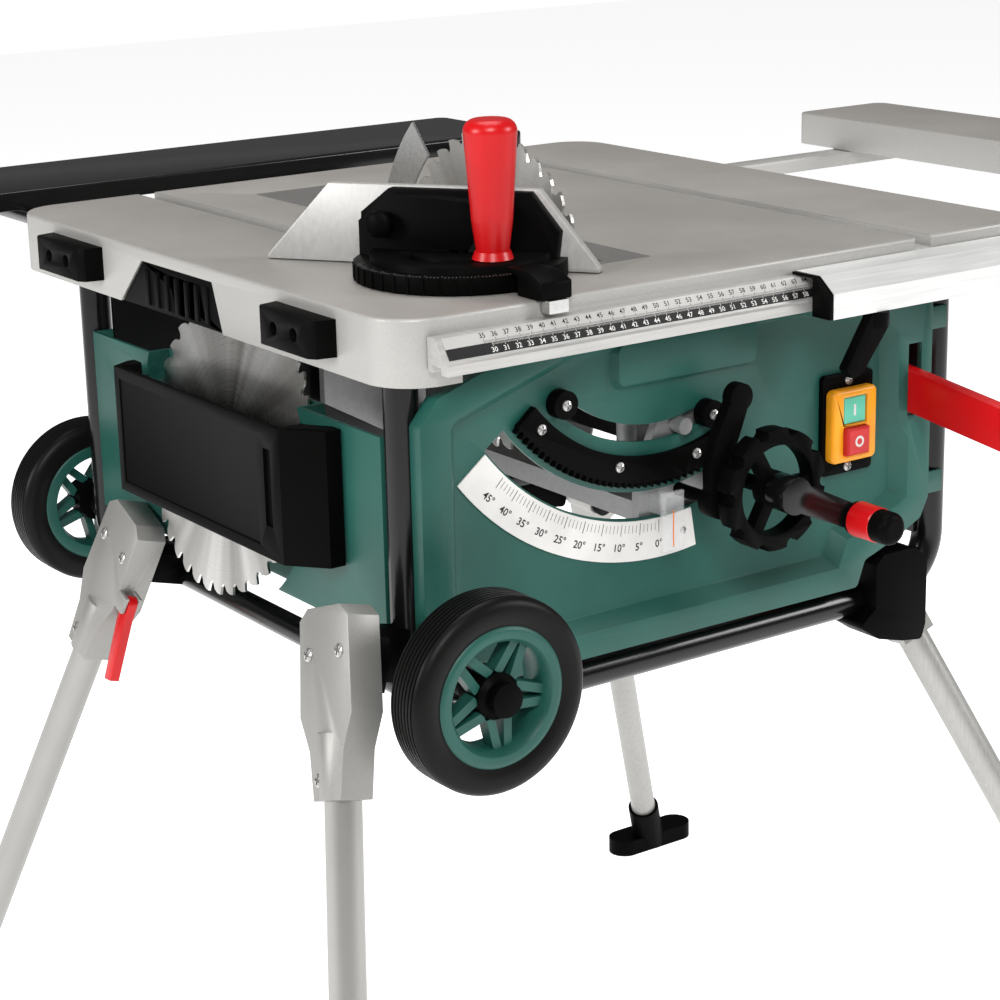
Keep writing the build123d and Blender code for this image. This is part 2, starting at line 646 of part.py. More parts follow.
with BuildPart() as gauge_head:
    with BuildSketch(gauge_plane.offset(0.8)):
        Circle(gauge_radius)
        with Locations((0, 60)):
            Rectangle(200, 80, mode=Mode.SUBTRACT)
    extrude(amount=12.2)
    with BuildSketch(gauge_plane.offset(13)):
        Circle(gauge_radius - 12)
        with Locations((0, 60)):
            Rectangle(200, 80, mode=Mode.SUBTRACT)
    extrude(amount=5)
    # Upright that carries the fence
    upright = Plane(origin=tuple(gauge_centre + across * 26 + Vector(0, 0, 0.8)), x_dir=tuple(along), z_dir=tuple(across * -1))
    with BuildSketch(upright):
        outline([(-84, 0), (66, 0), (70, 30), (48, 58), (-62, 58), (-84, 40)])
    extrude(amount=10)
    block_plane = Plane(origin=tuple(gauge_centre + across * 16.5), x_dir=tuple(along), z_dir=tuple(across * -1))
    with BuildSketch(block_plane):
        outline([(-78, 10), (30, 10), (30, 52), (-20, 56), (-56, 56), (-78, 38)])
    extrude(amount=20)
    # Curved slot for the clamp stud and bore for the pivot
    with BuildSketch(gauge_plane):
        ring_sector(stud_distance - 5, stud_distance + 5, -70, 69, (0, 0))
        Circle(8 + running)
    extrude(amount=19, mode=Mode.SUBTRACT)
save(gauge_head, "gauge_head")

with BuildPart() as gauge_fence:
    fence_plane = Plane(origin=tuple(gauge_centre + across * 35 + Vector(0, 0, 0.8)), x_dir=tuple(along),
                        z_dir=tuple(across * -1))
    with BuildSketch(fence_plane):
        outline([(-166, 0), (97, 0), (97, 3), (52, 59), (-114, 59), (-166, 3)])
    extrude(amount=9)
save(gauge_fence, "gauge_fence")

handle_centre = (left_slot_x, gauge_pivot[1] - stud_distance)
with BuildPart() as gauge_handle:
    for low, high, radius_low, radius_high in ((18.4, 24, 15, 13), (24, 46, 12, 15), (46, 118, 15, 20)):
        with BuildSketch(Plane.XY.offset(low)):
            with Locations(handle_centre):
                Circle(radius_low)
        with BuildSketch(Plane.XY.offset(high)):
            with Locations(handle_centre):
                Circle(radius_high)
        loft()
    fillet(gauge_handle.faces().sort_by(Axis.Z)[-1].edges(), 9)
    rod((handle_centre[0], handle_centre[1], 17), (handle_centre[0], handle_centre[1], 42), 4 + running, Mode.SUBTRACT)
save(gauge_handle, "gauge_handle")

# Sliding extension on the right
profile_section = [(-72, -40), (-72, -21), (-57, -9.2), (-30, -9.2), (-30, rail_top + 0.5), (rail_front - 0.6, rail_top + 0.5),
                   (rail_front - 0.6, -40)]
with BuildPart() as extension_profile:
    prism(side_plane(profile_left), profile_section, extension_right - profile_left)
    block(profile_left - 1, extension_right + 1, -68, -57, -36, -20, Mode.SUBTRACT)
    rod((168, -66, -41), (168, -66, -34), 4 + running, Mode.SUBTRACT)
save(extension_profile, "extension_profile")

with BuildPart() as extension_cap:
    prism(side_plane(profile_left - 4), profile_section, 4)
save(extension_cap, "extension_cap")

with BuildPart() as extension_table:
    with BuildSketch(Plane.XY.offset(-32)):
        with Locations(((extension_left + extension_right) / 2, 275)):
            RectangleRounded(extension_right - extension_left, 610, 14)
    extrude(amount=32)
    fillet(extension_table.faces().sort_by(Axis.Z)[-1].edges(), 2)
    block(extension_left + 4, extension_right - 4, -26, 576, -33, -6, Mode.SUBTRACT)
    block(150, extension_right - 4, bar_front, bar_back, bar_bottom, bar_top)
    block(extension_left + 4, extension_right - 4, bar_front, bar_back, bar_top, -6)
save(extension_table, "extension_table")

with BuildPart() as extension_lever:
    rod((168, -66, -50), (168, -66, -35), 4)
    rod((168, -66, -52), (168, -66, -40.4), 9)
    prism(front_plane(-62), [(159, -41.5), (176, -41.5), (176, -52), (150, -85), (140, -88), (134, -80), (152, -52)], 9,
          rounding=2)
save(extension_lever, "extension_lever")

# Pull-out support at the back
with BuildPart() as rear_extension:
    with BuildSketch(Plane.XY.offset(-17)):
        with Locations(((table_left + table_right) / 2, (rear_extension_front + rear_extension_back) / 2)):
            RectangleRounded(596, rear_extension_back - rear_extension_front, 12)
    extrude(amount=17)
    chamfer(rear_extension.faces().sort_by(Axis.Z)[-1].edges(), 1.5)
    block(table_left + 20, table_right - 20, rear_extension_front + 6, rear_extension_back - 6, -18, -5, Mode.SUBTRACT)
    for tube_x in rear_tube_xs:
        block(tube_x - 9, tube_x + 9, rear_extension_front + 2, rear_extension_back - 2, -17, -4)
        rod((tube_x, 170, rear_tube_z), (tube_x, rear_extension_back - 4, rear_tube_z), rear_tube_radius)
save(rear_extension, "rear_extension")

# Push stick parked in the front panel
stick_slope = 0.12
with BuildPart() as push_stick:
    points = []
    for stick_y, stick_z in ((70, -94), (40, -105), (-150, -105), (-162, -112), (-162, -132), (-150, -139), (40, -139),
                             (70, -120)):
        points.append((stick_y, stick_z + stick_slope * (stick_y + 26)))
    prism(side_plane(241.6), points, 12.8, rounding=3)
save(push_stick, "push_stick")

# Transport wheels
for name, wheel_y in (("front", front_wheel_y), ("rear", rear_wheel_y)):
    with BuildPart() as tyre:
        with BuildSketch(front_plane(wheel_y + wheel_width / 2)):
            with Locations((wheel_x, wheel_z)):
                Circle(wheel_radius)
                Circle(rim_radius, mode=Mode.SUBTRACT)
        extrude(amount=wheel_width)
        outer_edges = tyre.edges().filter_by(GeomType.CIRCLE).sort_by(SortBy.LENGTH)[-2:]
        fillet(outer_edges, 6)
    save(tyre, name + "_tyre")
    with BuildPart() as rim:
        with BuildSketch(front_plane(wheel_y + wheel_width / 2 - 3)):
            with Locations((wheel_x, wheel_z)):
                Circle(rim_radius)
                Circle(rim_radius - 9, mode=Mode.SUBTRACT)
        extrude(amount=wheel_width - 6)
        with BuildSketch(front_plane(wheel_y + wheel_width / 2 - 6)):
            with Locations((wheel_x, wheel_z)):
                Circle(16)
                with PolarLocations(0, 6):
                    with Locations((rim_radius / 2 + 2, 0)):
                        Rectangle(rim_radius - 18, 12)
        extrude(amount=wheel_width - 14)
        with BuildSketch(front_plane(wheel_y + wheel_width / 2)):
            with Locations((wheel_x, wheel_z)):
                Circle(13)
        extrude(amount=wheel_width)
        rod((wheel_x, wheel_y - 30, wheel_z), (wheel_x, wheel_y + 30, wheel_z), stub_radius + running, Mode.SUBTRACT)
    save(rim, name + "_rim")

# Folding legs: pivot, direction when down, direction when folded, side of its bracket
legs = {
    "front_left": ((-281.0, -19.0, -228.0), (-0.25, -0.38, -1.0), (-0.046, 0.982, -0.185)),
    "rear_left": ((-249.0, 368.0, -252.0), (-0.28, 0.35, -1.0), (-0.046, -0.982, -0.185)),
    "front_right": ((281.0, 27.0, -316.0), (0.42, -0.35, -1.0), (-0.96, 0.25, -0.10)),
    "rear_right": ((281.0, 443.0, -316.0), (0.42, 0.35, -1.0), (-0.96, -0.25, -0.10)),
}
leg_tube_radius = 13.0
pin_radius = 6.0
left_half = 13.0
right_half = 15.0
knuckle_radius = 19.0
lock_inner = 1.0
lock_thick = 8.0
lock_gap = 0.5
lock_ear = 3.0
lock_pin = (26.0, 40.0)
lock_leg = "rear_left"
blind_end = 8.0
leg_frames = {}
for name, (pivot, down, folded) in legs.items():
    direction = Vector(*down).normalized()
    axis = Vector(*down).cross(Vector(*folded)).normalized()
    side = Plane(origin=pivot, x_dir=tuple(direction), z_dir=tuple(axis))
    leg_frames[name] = (Vector(*pivot), direction, axis, side)
    left = name.endswith("left")
    half = left_half if left else right_half
    tube_start = 24.0
    tube_end = (pivot[2] - floor_z - 20) / abs(direction.Z)
    with BuildPart() as leg:
        with BuildSketch(side) as plan:
            if left:
                outline([(-36, -20), (-36, 20), (-28, 30), (38, 32), (62, 21), (96, 17), (96, -17), (62, -21),
                         (38, -32), (-28, -30)])
            else:
                Circle(knuckle_radius)
                with Locations((17, 0)):
                    Rectangle(34, 30)
        extrude(amount=half, both=True)
        if left:
            with BuildSketch(Plane(origin=tuple(Vector(*pivot) + direction * 50), z_dir=tuple(direction))):
                Circle(leg_tube_radius + 3.2)
            extrude(amount=46)
        if name == lock_leg:
            # Ears and pin of the release lever
            lock_outer = lock_inner + lock_thick
            inner_ear = (lock_inner - lock_gap - lock_ear, lock_ear)
            outer_ear = (lock_outer + lock_gap, left_half - lock_outer - lock_gap)
            for ear, ear_thick in (inner_ear, outer_ear):
                ear_origin = Vector(*pivot) + axis * ear
                ear_plane = Plane(origin=tuple(ear_origin), x_dir=tuple(direction), z_dir=tuple(axis))
                with BuildSketch(ear_plane):
                    with Locations((lock_pin[0], lock_pin[1] - 5)):
                        Rectangle(14, 20)
                extrude(amount=ear_thick)
            pin_centre = Vector(*pivot) + direction * lock_pin[0] + side.y_dir * lock_pin[1]
            rod(tuple(pin_centre + axis * inner_ear[0]), tuple(pin_centre + axis * (left_half - 1)), 3)
        tube_from = tuple(Vector(*pivot) + direction * tube_start)
        tube_to = tuple(Vector(*pivot) + direction * tube_end)
        rod(tube_from, tuple(Vector(*pivot) + direction * 110), leg_tube_radius, Mode.SUBTRACT)
        inward = axis if axis.X > 0 else axis * -1
        pin_from = tuple(Vector(*pivot) - inward * (blind_end + 0.5 if left else 40))
        pin_to = tuple(Vector(*pivot) + inward * 40)
        rod(pin_from, pin_to, pin_radius + running, Mode.SUBTRACT)
    with BuildPart() as tube:
        rod(tube_from, tube_to, leg_tube_radius)
        rod(tube_from, tube_to, leg_tube_radius - 1.8, Mode.SUBTRACT)
    with BuildPart() as whole_leg:
        add(leg.part)
        add(tube.part)
    save(whole_leg, name + "_leg")
    with BuildPart() as foot:
        socket_from = tuple(Vector(*pivot) + direction * (tube_end - 42))
        socket_to = tuple(Vector(*pivot) + direction * (tube_end + 40))
        rod(socket_from, socket_to, leg_tube_radius + 3.4)
        ground = Vector(*pivot) + direction * ((pivot[2] - floor_z) / abs(direction.Z))
        with BuildSketch(Plane.XY.offset(floor_z)):
            with Locations((ground.X, ground.Y)):
                if left:
                    Circle(leg_tube_radius + 3.4)
                else:
                    SlotOverall(104, 34)
        extrude(amount=17)
        block(ground.X - 200, ground.X + 200, ground.Y - 200, ground.Y + 200, floor_z - 100, floor_z, Mode.SUBTRACT)
        rod(tube_from, tube_to, leg_tube_radius, Mode.SUBTRACT)
    save(foot, name + "_foot")

# Brackets that carry the legs, and the stub axles of the wheels
with BuildPart() as corner_brackets:
    for name in ("front_left", "rear_left"):
        pivot, direction, axis, side = leg_frames[name]
        inward = axis if axis.X > 0 else axis * -1
        cheek = Plane(origin=tuple(pivot + inward * (left_half + 0.5)), x_dir=(0, 1, 0), z_dir=tuple(inward))
        with BuildSketch(cheek):
            if name == "front_left":
                outline([(-20, -18), (36, -18), (36, 20), (-14, 20), (-20, 8)])
            else:
                outline([(-22, -20), (22, -20), (22, 4), (14, 9.5), (-14, 9.5), (-22, 4)])
        extrude(amount=14 if name == "front_left" else 32)
        if name == "front_left":
            # Arm that reaches back to the post behind the front panel
            with BuildSketch(cheek):
                outline([(8, -18), (25, -18), (25, 20), (8, 20)])
            extrude(amount=58)
        rod(tuple(pivot + inward * (left_half + 1)), tuple(pivot - inward * blind_end), pin_radius)
    for name in ("front_right", "rear_right"):
        pivot, direction, axis, side = leg_frames[name]
        front = name == "front_right"
        sign = 1 if front else -1
        hoop_y = 0 if front else hoop_back
        front_face = hoop_y - 26 * sign
        back_face = hoop_y + 9 * sign
        low_y, high_y = min(front_face, back_face), max(front_face, back_face)
        prism(front_plane(high_y), [(195, -308), (212, -296), (212, -259), (220, -252), (252, -252), (267, -262), (267, -319),
                                    (263, -332), (242, -329), (216, -322)], high_y - low_y, rounding=4)
        for offset_from in (right_half + 0.5, -right_half - 6.5):
            cheek = Plane(origin=tuple(pivot + axis * offset_from), x_dir=tuple(direction), z_dir=tuple(axis))
            with BuildSketch(cheek):
                Circle(17)
                with Locations((-20, 0)):
                    Rectangle(32, 34)
            extrude(amount=6)
        web = Plane(origin=tuple(pivot - axis * (right_half + 6.5)), x_dir=tuple(direction), z_dir=tuple(axis))
        with BuildSketch(web):
            with Locations((-30, 0)):
                Rectangle(12, 34)
        extrude(amount=2 * right_half + 13)
        rod(tuple(pivot - axis * (right_half + 6)), tuple(pivot + axis * (right_half + 6)), pin_radius)
    for wheel_y, hoop_y, sign in ((front_wheel_y, 0, -1), (rear_wheel_y, hoop_back, 1)):
        inner = wheel_y - sign * (wheel_width / 2 + 0.5)
        outer = wheel_y + sign * (wheel_width / 2 + 0.5)
        rod((wheel_x, hoop_y, wheel_z), (wheel_x, inner, wheel_z), 11)
        rod((wheel_x, hoop_y, wheel_z), (wheel_x, outer + sign * 1, wheel_z), stub_radius)
        rod((wheel_x, outer, wheel_z), (wheel_x, outer + sign * 5, wheel_z), 12)
    add(front_bar, mode=Mode.SUBTRACT)
    add(rear_bar, mode=Mode.SUBTRACT)
    for tube_x in (side_tube_left, side_tube_right):
        rod((tube_x, 0, side_tube_z), (tube_x, hoop_back, side_tube_z), side_tube_radius, Mode.SUBTRACT)
save(corner_brackets, "corner_brackets")

# Red release lever on the rear left leg
pivot, direction, axis, side = leg_frames[lock_leg]
with BuildPart() as lock_lever:
    with BuildSketch(side.offset(lock_inner)):
        with Locations(lock_pin):
            Circle(6.5)
        outline([(23, 34.6), (30, 34.4), (44, 36), (92, 50), (88, 60), (40, 48), (24, 46)])
        with Locations(lock_pin):
            Circle(3 + running, mode=Mode.SUBTRACT)
    extrude(amount=lock_thick)
save(lock_lever, lock_leg + "_lock")
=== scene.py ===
# %% [markdown]
# A portable table saw on a folding stand.
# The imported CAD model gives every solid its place, so the scene only adds
# a camera, light, finishes and the small details that solids leave out.

import json
from math import cos, pi, radians, sin

import bmesh
import bpy
from mathutils import Euler, Matrix, Vector


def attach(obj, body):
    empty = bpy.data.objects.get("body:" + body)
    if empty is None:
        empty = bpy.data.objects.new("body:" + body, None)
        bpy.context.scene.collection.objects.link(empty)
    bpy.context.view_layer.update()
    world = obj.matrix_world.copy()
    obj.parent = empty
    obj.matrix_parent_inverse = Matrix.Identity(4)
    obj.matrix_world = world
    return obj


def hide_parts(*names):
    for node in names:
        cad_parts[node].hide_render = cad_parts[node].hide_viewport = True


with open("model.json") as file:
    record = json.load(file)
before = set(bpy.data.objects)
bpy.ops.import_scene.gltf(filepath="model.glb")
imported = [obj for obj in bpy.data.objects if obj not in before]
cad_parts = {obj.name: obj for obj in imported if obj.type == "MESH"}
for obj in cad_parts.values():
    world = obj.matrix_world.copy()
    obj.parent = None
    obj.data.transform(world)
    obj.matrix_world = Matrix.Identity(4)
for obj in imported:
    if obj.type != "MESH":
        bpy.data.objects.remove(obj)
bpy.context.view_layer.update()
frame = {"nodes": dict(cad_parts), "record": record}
nodes = frame["nodes"]
MM = 0.001

# %% [markdown]
# The camera stands in front of the machine's left corner, a little above the
# table, with a long lens. Its place was worked out from straight edges of the
# table and panel, so the picture's lines and the model's lines fall together.

# %% Camera
CAMERA_PLACE = (-1.0937, -1.3892, 0.3490)
CAMERA_DEGREES = (73.641, 1.252, -35.060)
SENSOR_WIDTH = 36.0
LENS = 89.0
camera_data = bpy.data.cameras.new("camera")
camera_data.sensor_width = SENSOR_WIDTH
camera_data.lens = LENS
camera = bpy.data.objects.new("camera", camera_data)
camera.location = CAMERA_PLACE
camera.rotation_euler = Euler([radians(angle) for angle in CAMERA_DEGREES])
bpy.context.scene.collection.objects.link(camera)
bpy.context.scene.camera = camera
print("camera lens", camera_data.lens)

# %% [markdown]
# A product picture has a white surround and wide, soft lamps. Large area lamps
# give the metal something to reflect. The surround is white to the camera but
# weak as a light, so that black stays black.

# %% World and lamps
WORLD_LIGHT = 0.14


def lamp(name, place, target, size, power):
    """Square soft lamp that looks at a point."""
    data = bpy.data.lights.new(name, "AREA")
    data.size = size
    data.energy = power
    made = bpy.data.objects.new(name, data)
    made.location = place
    turn = (Vector(target) - Vector(place)).to_track_quat("-Z", "Y")
    made.rotation_euler = turn.to_euler()
    bpy.context.scene.collection.objects.link(made)


lamp("key_lamp", (-1.6, -2.2, 2.0), (0.1, 0.1, -0.2), 1.1, 92)
lamp("left_lamp", (-3.0, 0.6, 0.9), (-0.2, 0.2, -0.3), 1.0, 62)
lamp("right_lamp", (2.4, -2.0, 1.2), (0.2, 0.1, -0.2), 1.0, 60)
lamp("top_lamp", (0.2, 0.6, 2.6), (0.1, 0.2, 0.0), 1.8, 50)
world = bpy.data.worlds.new("studio")
world.use_nodes = True
backdrop = world.node_tree.nodes["Background"]
backdrop.inputs["Color"].default_value = (1.0, 1.0, 1.0, 1.0)
seen = world.node_tree.nodes.new("ShaderNodeLightPath")
level = world.node_tree.nodes.new("ShaderNodeMapRange")
level.inputs["To Min"].default_value = WORLD_LIGHT
level.inputs["To Max"].default_value = 1.0
world.node_tree.links.new(seen.outputs["Is Camera Ray"], level.inputs["Value"])
world.node_tree.links.new(level.outputs["Result"], backdrop.inputs["Strength"])
bpy.context.scene.world = world
bpy.context.scene.view_settings.view_transform = "Standard"
print("lamps:", len(bpy.data.lights))

# %% [markdown]
# Finishes are written as arithmetic. `Shade` wraps one socket, so that
# `0.4 + 0.1 * noise` adds the Math nodes by itself, and `Finish.node` makes
# any other node from its type, its settings and what goes into its sockets.

# %% Shader arithmetic


class Shade:
    """One socket of a material, with arithmetic."""

    def __init__(self, finish, socket):
        self.finish = finish
        self.socket = socket

    def __add__(self, other):
        return self.finish.math("ADD", self, other)

    __radd__ = __add__

    def __mul__(self, other):
        return self.finish.math("MULTIPLY", self, other)

    __rmul__ = __mul__

    def __rsub__(self, other):
        return self.finish.math("SUBTRACT", other, self)

    def __gt__(self, other):
        return self.finish.math("GREATER_THAN", self, other)


class Finish:
    """One material with its shader and its object coordinates."""

    def __init__(self, name, fixed):
        self.material = bpy.data.materials.new(name)
        self.material.use_nodes = True
        self.tree = self.material.node_tree
        self.shader = self.tree.nodes["Principled BSDF"]
        for key, value in fixed.items():
            self.shader.inputs[key].default_value = value
        self.place = self.node("ShaderNodeTexCoord", out="Object")

    def node(self, kind, settings=None, inputs=None, out=0):
        """Any node: settings first, then the values or links of its sockets."""
        made = self.tree.nodes.new(kind)
        for key, value in (settings or {}).items():
            setattr(made, key, value)
        for key, value in (inputs or {}).items():
            if isinstance(value, Shade):
                self.tree.links.new(value.socket, made.inputs[key])
            else:
                made.inputs[key].default_value = value
        return Shade(self, made.outputs[out])

    def math(self, operation, first, second):
        return self.node("ShaderNodeMath", {"operation": operation}, {0: first, 1: second})

    def noise(self, scale, detail, stretch=(1.0, 1.0, 1.0)):
        """Cloudy pattern, squeezed along each axis by the stretch."""
        spread = self.node("ShaderNodeMapping", None, {"Vector": self.place, "Scale": stretch})
        return self.node("ShaderNodeTexNoise", None,
                         {"Vector": spread, "Scale": scale, "Detail": detail, "Roughness": 0.55})

    def mix(self, factor, dark, light):
        """Colour between two colours."""
        return self.node("ShaderNodeMix", {"data_type": "RGBA"}, {0: factor, 6: dark, 7: light}, out=2)

    def steps(self, value, low, high):
        """Value spread from 0 at low to 1 at high."""
        return self.node("ShaderNodeMapRange", None, {"Value": value, "From Min": low, "From Max": high})

    def use(self, socket, value):
        """Lead a value into one of the shader's sockets."""
        self.tree.links.new(value.socket, self.shader.inputs[socket])

    def bump(self, height, strength, depth):
        """Small hills that only the light sees."""
        hills = {"Strength": strength, "Distance": depth, "Height": height}
        self.use("Normal", self.node("ShaderNodeBump", None, hills))


def rgba(colour, level=1.0):
    """Colour with its alpha, made darker or lighter by the level."""
    return (colour[0] * level, colour[1] * level, colour[2] * level, 1.0)


print("shader helpers ready")

# %% [markdown]
# Moulded plastic is never one flat colour: the mould gives it a fine grain,
# and handling leaves faint smears. The grain goes into bump, the smears into
# roughness and a slight change of shade.

# %% Moulded plastic, rubber and paint
GRAIN_DEPTH = 0.0006


def moulded(name, colour, rough, grain, grain_scale=900.0, shine=0.3, solid=1.0):
    """Plastic or paint with a fine grain and faint smears."""
    finish = Finish(name, {"Specular IOR Level": shine, "Alpha": solid})
    fine = finish.noise(grain_scale, 3.0)
    smear = finish.noise(14.0, 4.0)
    shade = finish.steps(smear, 0.3, 0.7)
    finish.use("Base Color", finish.mix(shade, rgba(colour, 0.86), rgba(colour, 1.12)))
    finish.use("Roughness", rough - 0.06 + 0.10 * smear + 0.05 * fine)
    finish.bump(fine, grain, GRAIN_DEPTH)
    return finish.material


green_plastic = moulded("green_plastic", (0.010, 0.070, 0.055), 0.42, 0.16)
black_plastic = moulded("black_plastic", (0.0016, 0.0016, 0.0015), 0.46, 0.06, 900.0, 0.03)
satin_black = moulded("satin_black_paint", (0.003, 0.003, 0.003), 0.20, 0.03, 500.0, 0.28)
red_plastic = moulded("red_plastic", (0.46, 0.003, 0.005), 0.30, 0.06)
yellow_plastic = moulded("yellow_plastic", (0.78, 0.30, 0.010), 0.36, 0.05)
green_key = moulded("green_key", (0.10, 0.46, 0.32), 0.32, 0.04)
red_key = moulded("red_key", (0.50, 0.02, 0.02), 0.32, 0.04)
white_print = moulded("white_print", (0.60, 0.59, 0.57), 0.45, 0.03)
silver_print = moulded("silver_print", (0.40, 0.39, 0.375), 0.40, 0.03)
black_print = moulded("black_print", (0.006, 0.006, 0.006), 0.45, 0.03)
grey_print = moulded("grey_print", (0.10, 0.10, 0.10), 0.45, 0.03)
orange_print = moulded("orange_print", (0.75, 0.16, 0.01), 0.45, 0.03)
tyre_rubber = moulded("tyre_rubber", (0.004, 0.004, 0.0038), 0.38, 0.16, 350.0, 0.10)
clear_plastic = moulded("clear_plastic", (0.70, 0.71, 0.71), 0.16, 0.02, 900.0, 0.5, 0.22)
print("plastics:", len(bpy.data.materials))

# %% [markdown]
# The table is an aluminium casting with a ground top, so it carries fine
# scratches along its length and a dull, slightly blotchy shade; the top's
# darker colour is partly its own tone and partly a painted dark reflection.
# The legs' castings are sprayed silver, which sparkles a little.

# %% Metals
SCRATCH_DEPTH = 0.0004
GROUND_FROM = -0.0006


def metal(name, colour, rough, metallic, stretch, scale, depth=0.10):
    """Metal with scratches, drawn out along an axis by the stretch."""
    finish = Finish(name, {"Metallic": metallic})
    lines = finish.noise(scale, 3.0, stretch)
    blot = finish.noise(9.0, 5.0)
    shade = 0.65 * finish.steps(lines, 0.25, 0.75) + 0.35 * finish.steps(blot, 0.3, 0.7)
    finish.use("Base Color", finish.mix(shade, rgba(colour, 0.84), rgba(colour, 1.12)))
    finish.use("Roughness", rough - 0.07 + 0.14 * lines + 0.06 * blot)
    finish.bump(lines, depth, SCRATCH_DEPTH)
    return finish.material


rail_metal = metal("rail_metal", (0.46, 0.455, 0.44), 0.38, 0.60, (0.04, 1.0, 1.0), 420.0)
profile_metal = metal("drawn_profile", (0.66, 0.66, 0.65), 0.38, 0.45, (0.04, 1.0, 1.0), 420.0)
fence_metal = metal("fence_profile", (0.40, 0.395, 0.382), 0.42, 0.35, (1.0, 1.0, 0.5), 300.0)
insert_metal = metal("insert_plate", (0.20, 0.195, 0.185), 0.40, 0.5, (1.0, 0.1, 1.0), 420.0)
tube_metal = metal("leg_tube_metal", (0.36, 0.355, 0.34), 0.36, 0.60, (1.0, 1.0, 0.06), 600.0)
bright_steel = metal("bright_steel", (0.62, 0.62, 0.61), 0.26, 1.0, (1.0, 1.0, 1.0), 300.0)
dark_steel = metal("dark_zinc", (0.42, 0.41, 0.40), 0.34, 0.9, (1.0, 1.0, 1.0), 300.0)
raw_casting = metal("raw_casting", (0.30, 0.30, 0.30), 0.50, 0.7, (1.0, 1.0, 1.0), 160.0, 0.25)


def table_finish(name):
    """Ground top face, darker partly by its own tone and partly by a painted dark reflection; silver paint on
    the skirt below it.
    """
    finish = Finish(name, {"Specular IOR Level": 0.35})
    height = finish.node("ShaderNodeSeparateXYZ", None, {0: finish.place}, out=2)
    ground = height > GROUND_FROM
    lines = finish.noise(500.0, 3.0, (1.0, 0.06, 1.0))
    grit = finish.noise(700.0, 3.0)
    blot = finish.noise(7.0, 5.0)
    shade = 0.5 * lines + 0.5 * finish.steps(blot, 0.3, 0.7)
    # Painted dark reflection: the top's colours are darker than the skirt's, partly from the ground metal's own
    # tone and partly to stand in for the dark surroundings it reflects.
    top = finish.mix(shade, rgba((0.225, 0.213, 0.198)), rgba((0.33, 0.313, 0.292)))
    paint = finish.mix(grit, rgba((0.31, 0.305, 0.29)), rgba((0.39, 0.383, 0.367)))
    finish.use("Base Color", finish.mix(ground, paint, top))
    finish.use("Roughness", 0.42 + 0.06 * ground + 0.10 * lines)
    finish.use("Metallic", 0.30 - 0.10 * ground)
    finish.bump(lines * ground + grit * (1.0 - ground), 0.10, SCRATCH_DEPTH)
    return finish.material


table_metal = table_finish("ground_table")
print("metals ready")

# %% [markdown]
# A left leg is one solid: a sprayed casting and the tube that goes into it.
# The finish changes at a distance along the leg, found with a dot product.

# %% Two finishes along a leg


def leg_finish(name, pivot, direction, change):
    """Sprayed casting near the pivot, drawn tube past the change."""
    finish = Finish(name, {})
    offset = finish.node("ShaderNodeVectorMath", {"operation": "SUBTRACT"}, {0: finish.place, 1: pivot})
    reach = finish.node("ShaderNodeVectorMath", {"operation": "DOT_PRODUCT"},
                        {0: offset, 1: direction}, out="Value")
    tube = reach > change
    grain = finish.noise(800.0, 3.0)
    blot = finish.noise(9.0, 4.0)
    cast = finish.mix(grain, rgba((0.215, 0.211, 0.20)), rgba((0.287, 0.282, 0.268)))
    drawn = finish.mix(blot, rgba((0.25, 0.245, 0.234)), rgba((0.32, 0.313, 0.299)))
    finish.use("Base Color", finish.mix(tube, cast, drawn))
    finish.use("Roughness", 0.40 - 0.08 * tube + 0.10 * grain)
    finish.use("Metallic", 0.40 + 0.35 * tube)
    finish.bump(grain, 0.10, SCRATCH_DEPTH)
    return finish.material


front_left_pivot = Vector((-0.281, -0.019, -0.228))
rear_left_pivot = Vector((-0.249, 0.368, -0.252))
front_left_down = Vector((-0.25, -0.38, -1.0)).normalized()
rear_left_down = Vector((-0.28, 0.35, -1.0)).normalized()
SOCKET_END = 0.0965
front_left_finish = leg_finish("front_left_leg", front_left_pivot, front_left_down, SOCKET_END)
rear_left_finish = leg_finish("rear_left_leg", rear_left_pivot, rear_left_down, SOCKET_END)
print("leg finishes ready")

# %% [markdown]
# A saw blade is ground on a turning table, so its scratches are rings, and the
# light streaks outwards from the middle; these streaks are painted highlights,
# lighter and darker rays in the colour. Both follow the distance and the angle
# from the blade's own centre.

# %% Ground blade steel


def blade_finish(name, centre):
    """Ground steel with rings, and painted highlight streaks as rays about a centre."""
    finish = Finish(name, {"Metallic": 1.0})
    offset = finish.node("ShaderNodeVectorMath", {"operation": "SUBTRACT"}, {0: finish.place, 1: centre})
    along = finish.node("ShaderNodeSeparateXYZ", None, {0: offset}, out=1)
    height = Shade(finish, along.socket.node.outputs[2])
    turn = finish.math("ARCTAN2", height, along)
    reach = finish.node("ShaderNodeVectorMath", {"operation": "LENGTH"}, {0: offset}, out="Value")
    rings = finish.node("ShaderNodeTexNoise", {"noise_dimensions": "1D"}, {"W": reach, "Scale": 900.0})
    # Painted highlight streaks: noise along the angle lightens and darkens the steel's colour in rays.
    painted_highlight_rays = finish.node("ShaderNodeTexNoise", {"noise_dimensions": "1D"}, {"W": turn, "Scale": 2.2})
    shade = finish.steps(painted_highlight_rays, 0.35, 0.65)
    finish.use("Base Color", finish.mix(shade, rgba((0.36, 0.35, 0.33)), rgba((0.80, 0.79, 0.77))))
    finish.use("Roughness", 0.22 + 0.16 * rings)
    finish.bump(rings, 0.08, 0.0003)
    return finish.material


BLADE_CENTRE = Vector((0.0, 0.192, -0.043))
SPARE_CENTRE = Vector((-0.218, 0.241, -0.137))
SPARE_AXIS = Vector((1.0, 0.0, -0.2)).normalized()
blade_steel = blade_finish("ground_blade", BLADE_CENTRE)
spare_steel = blade_finish("ground_spare_blade", SPARE_CENTRE)
print("blade steel ready")

# %% [markdown]
# Every CAD node gets its finish here. Nodes that a detailed piece will stand
# for get one too, so nothing is ever left plain.

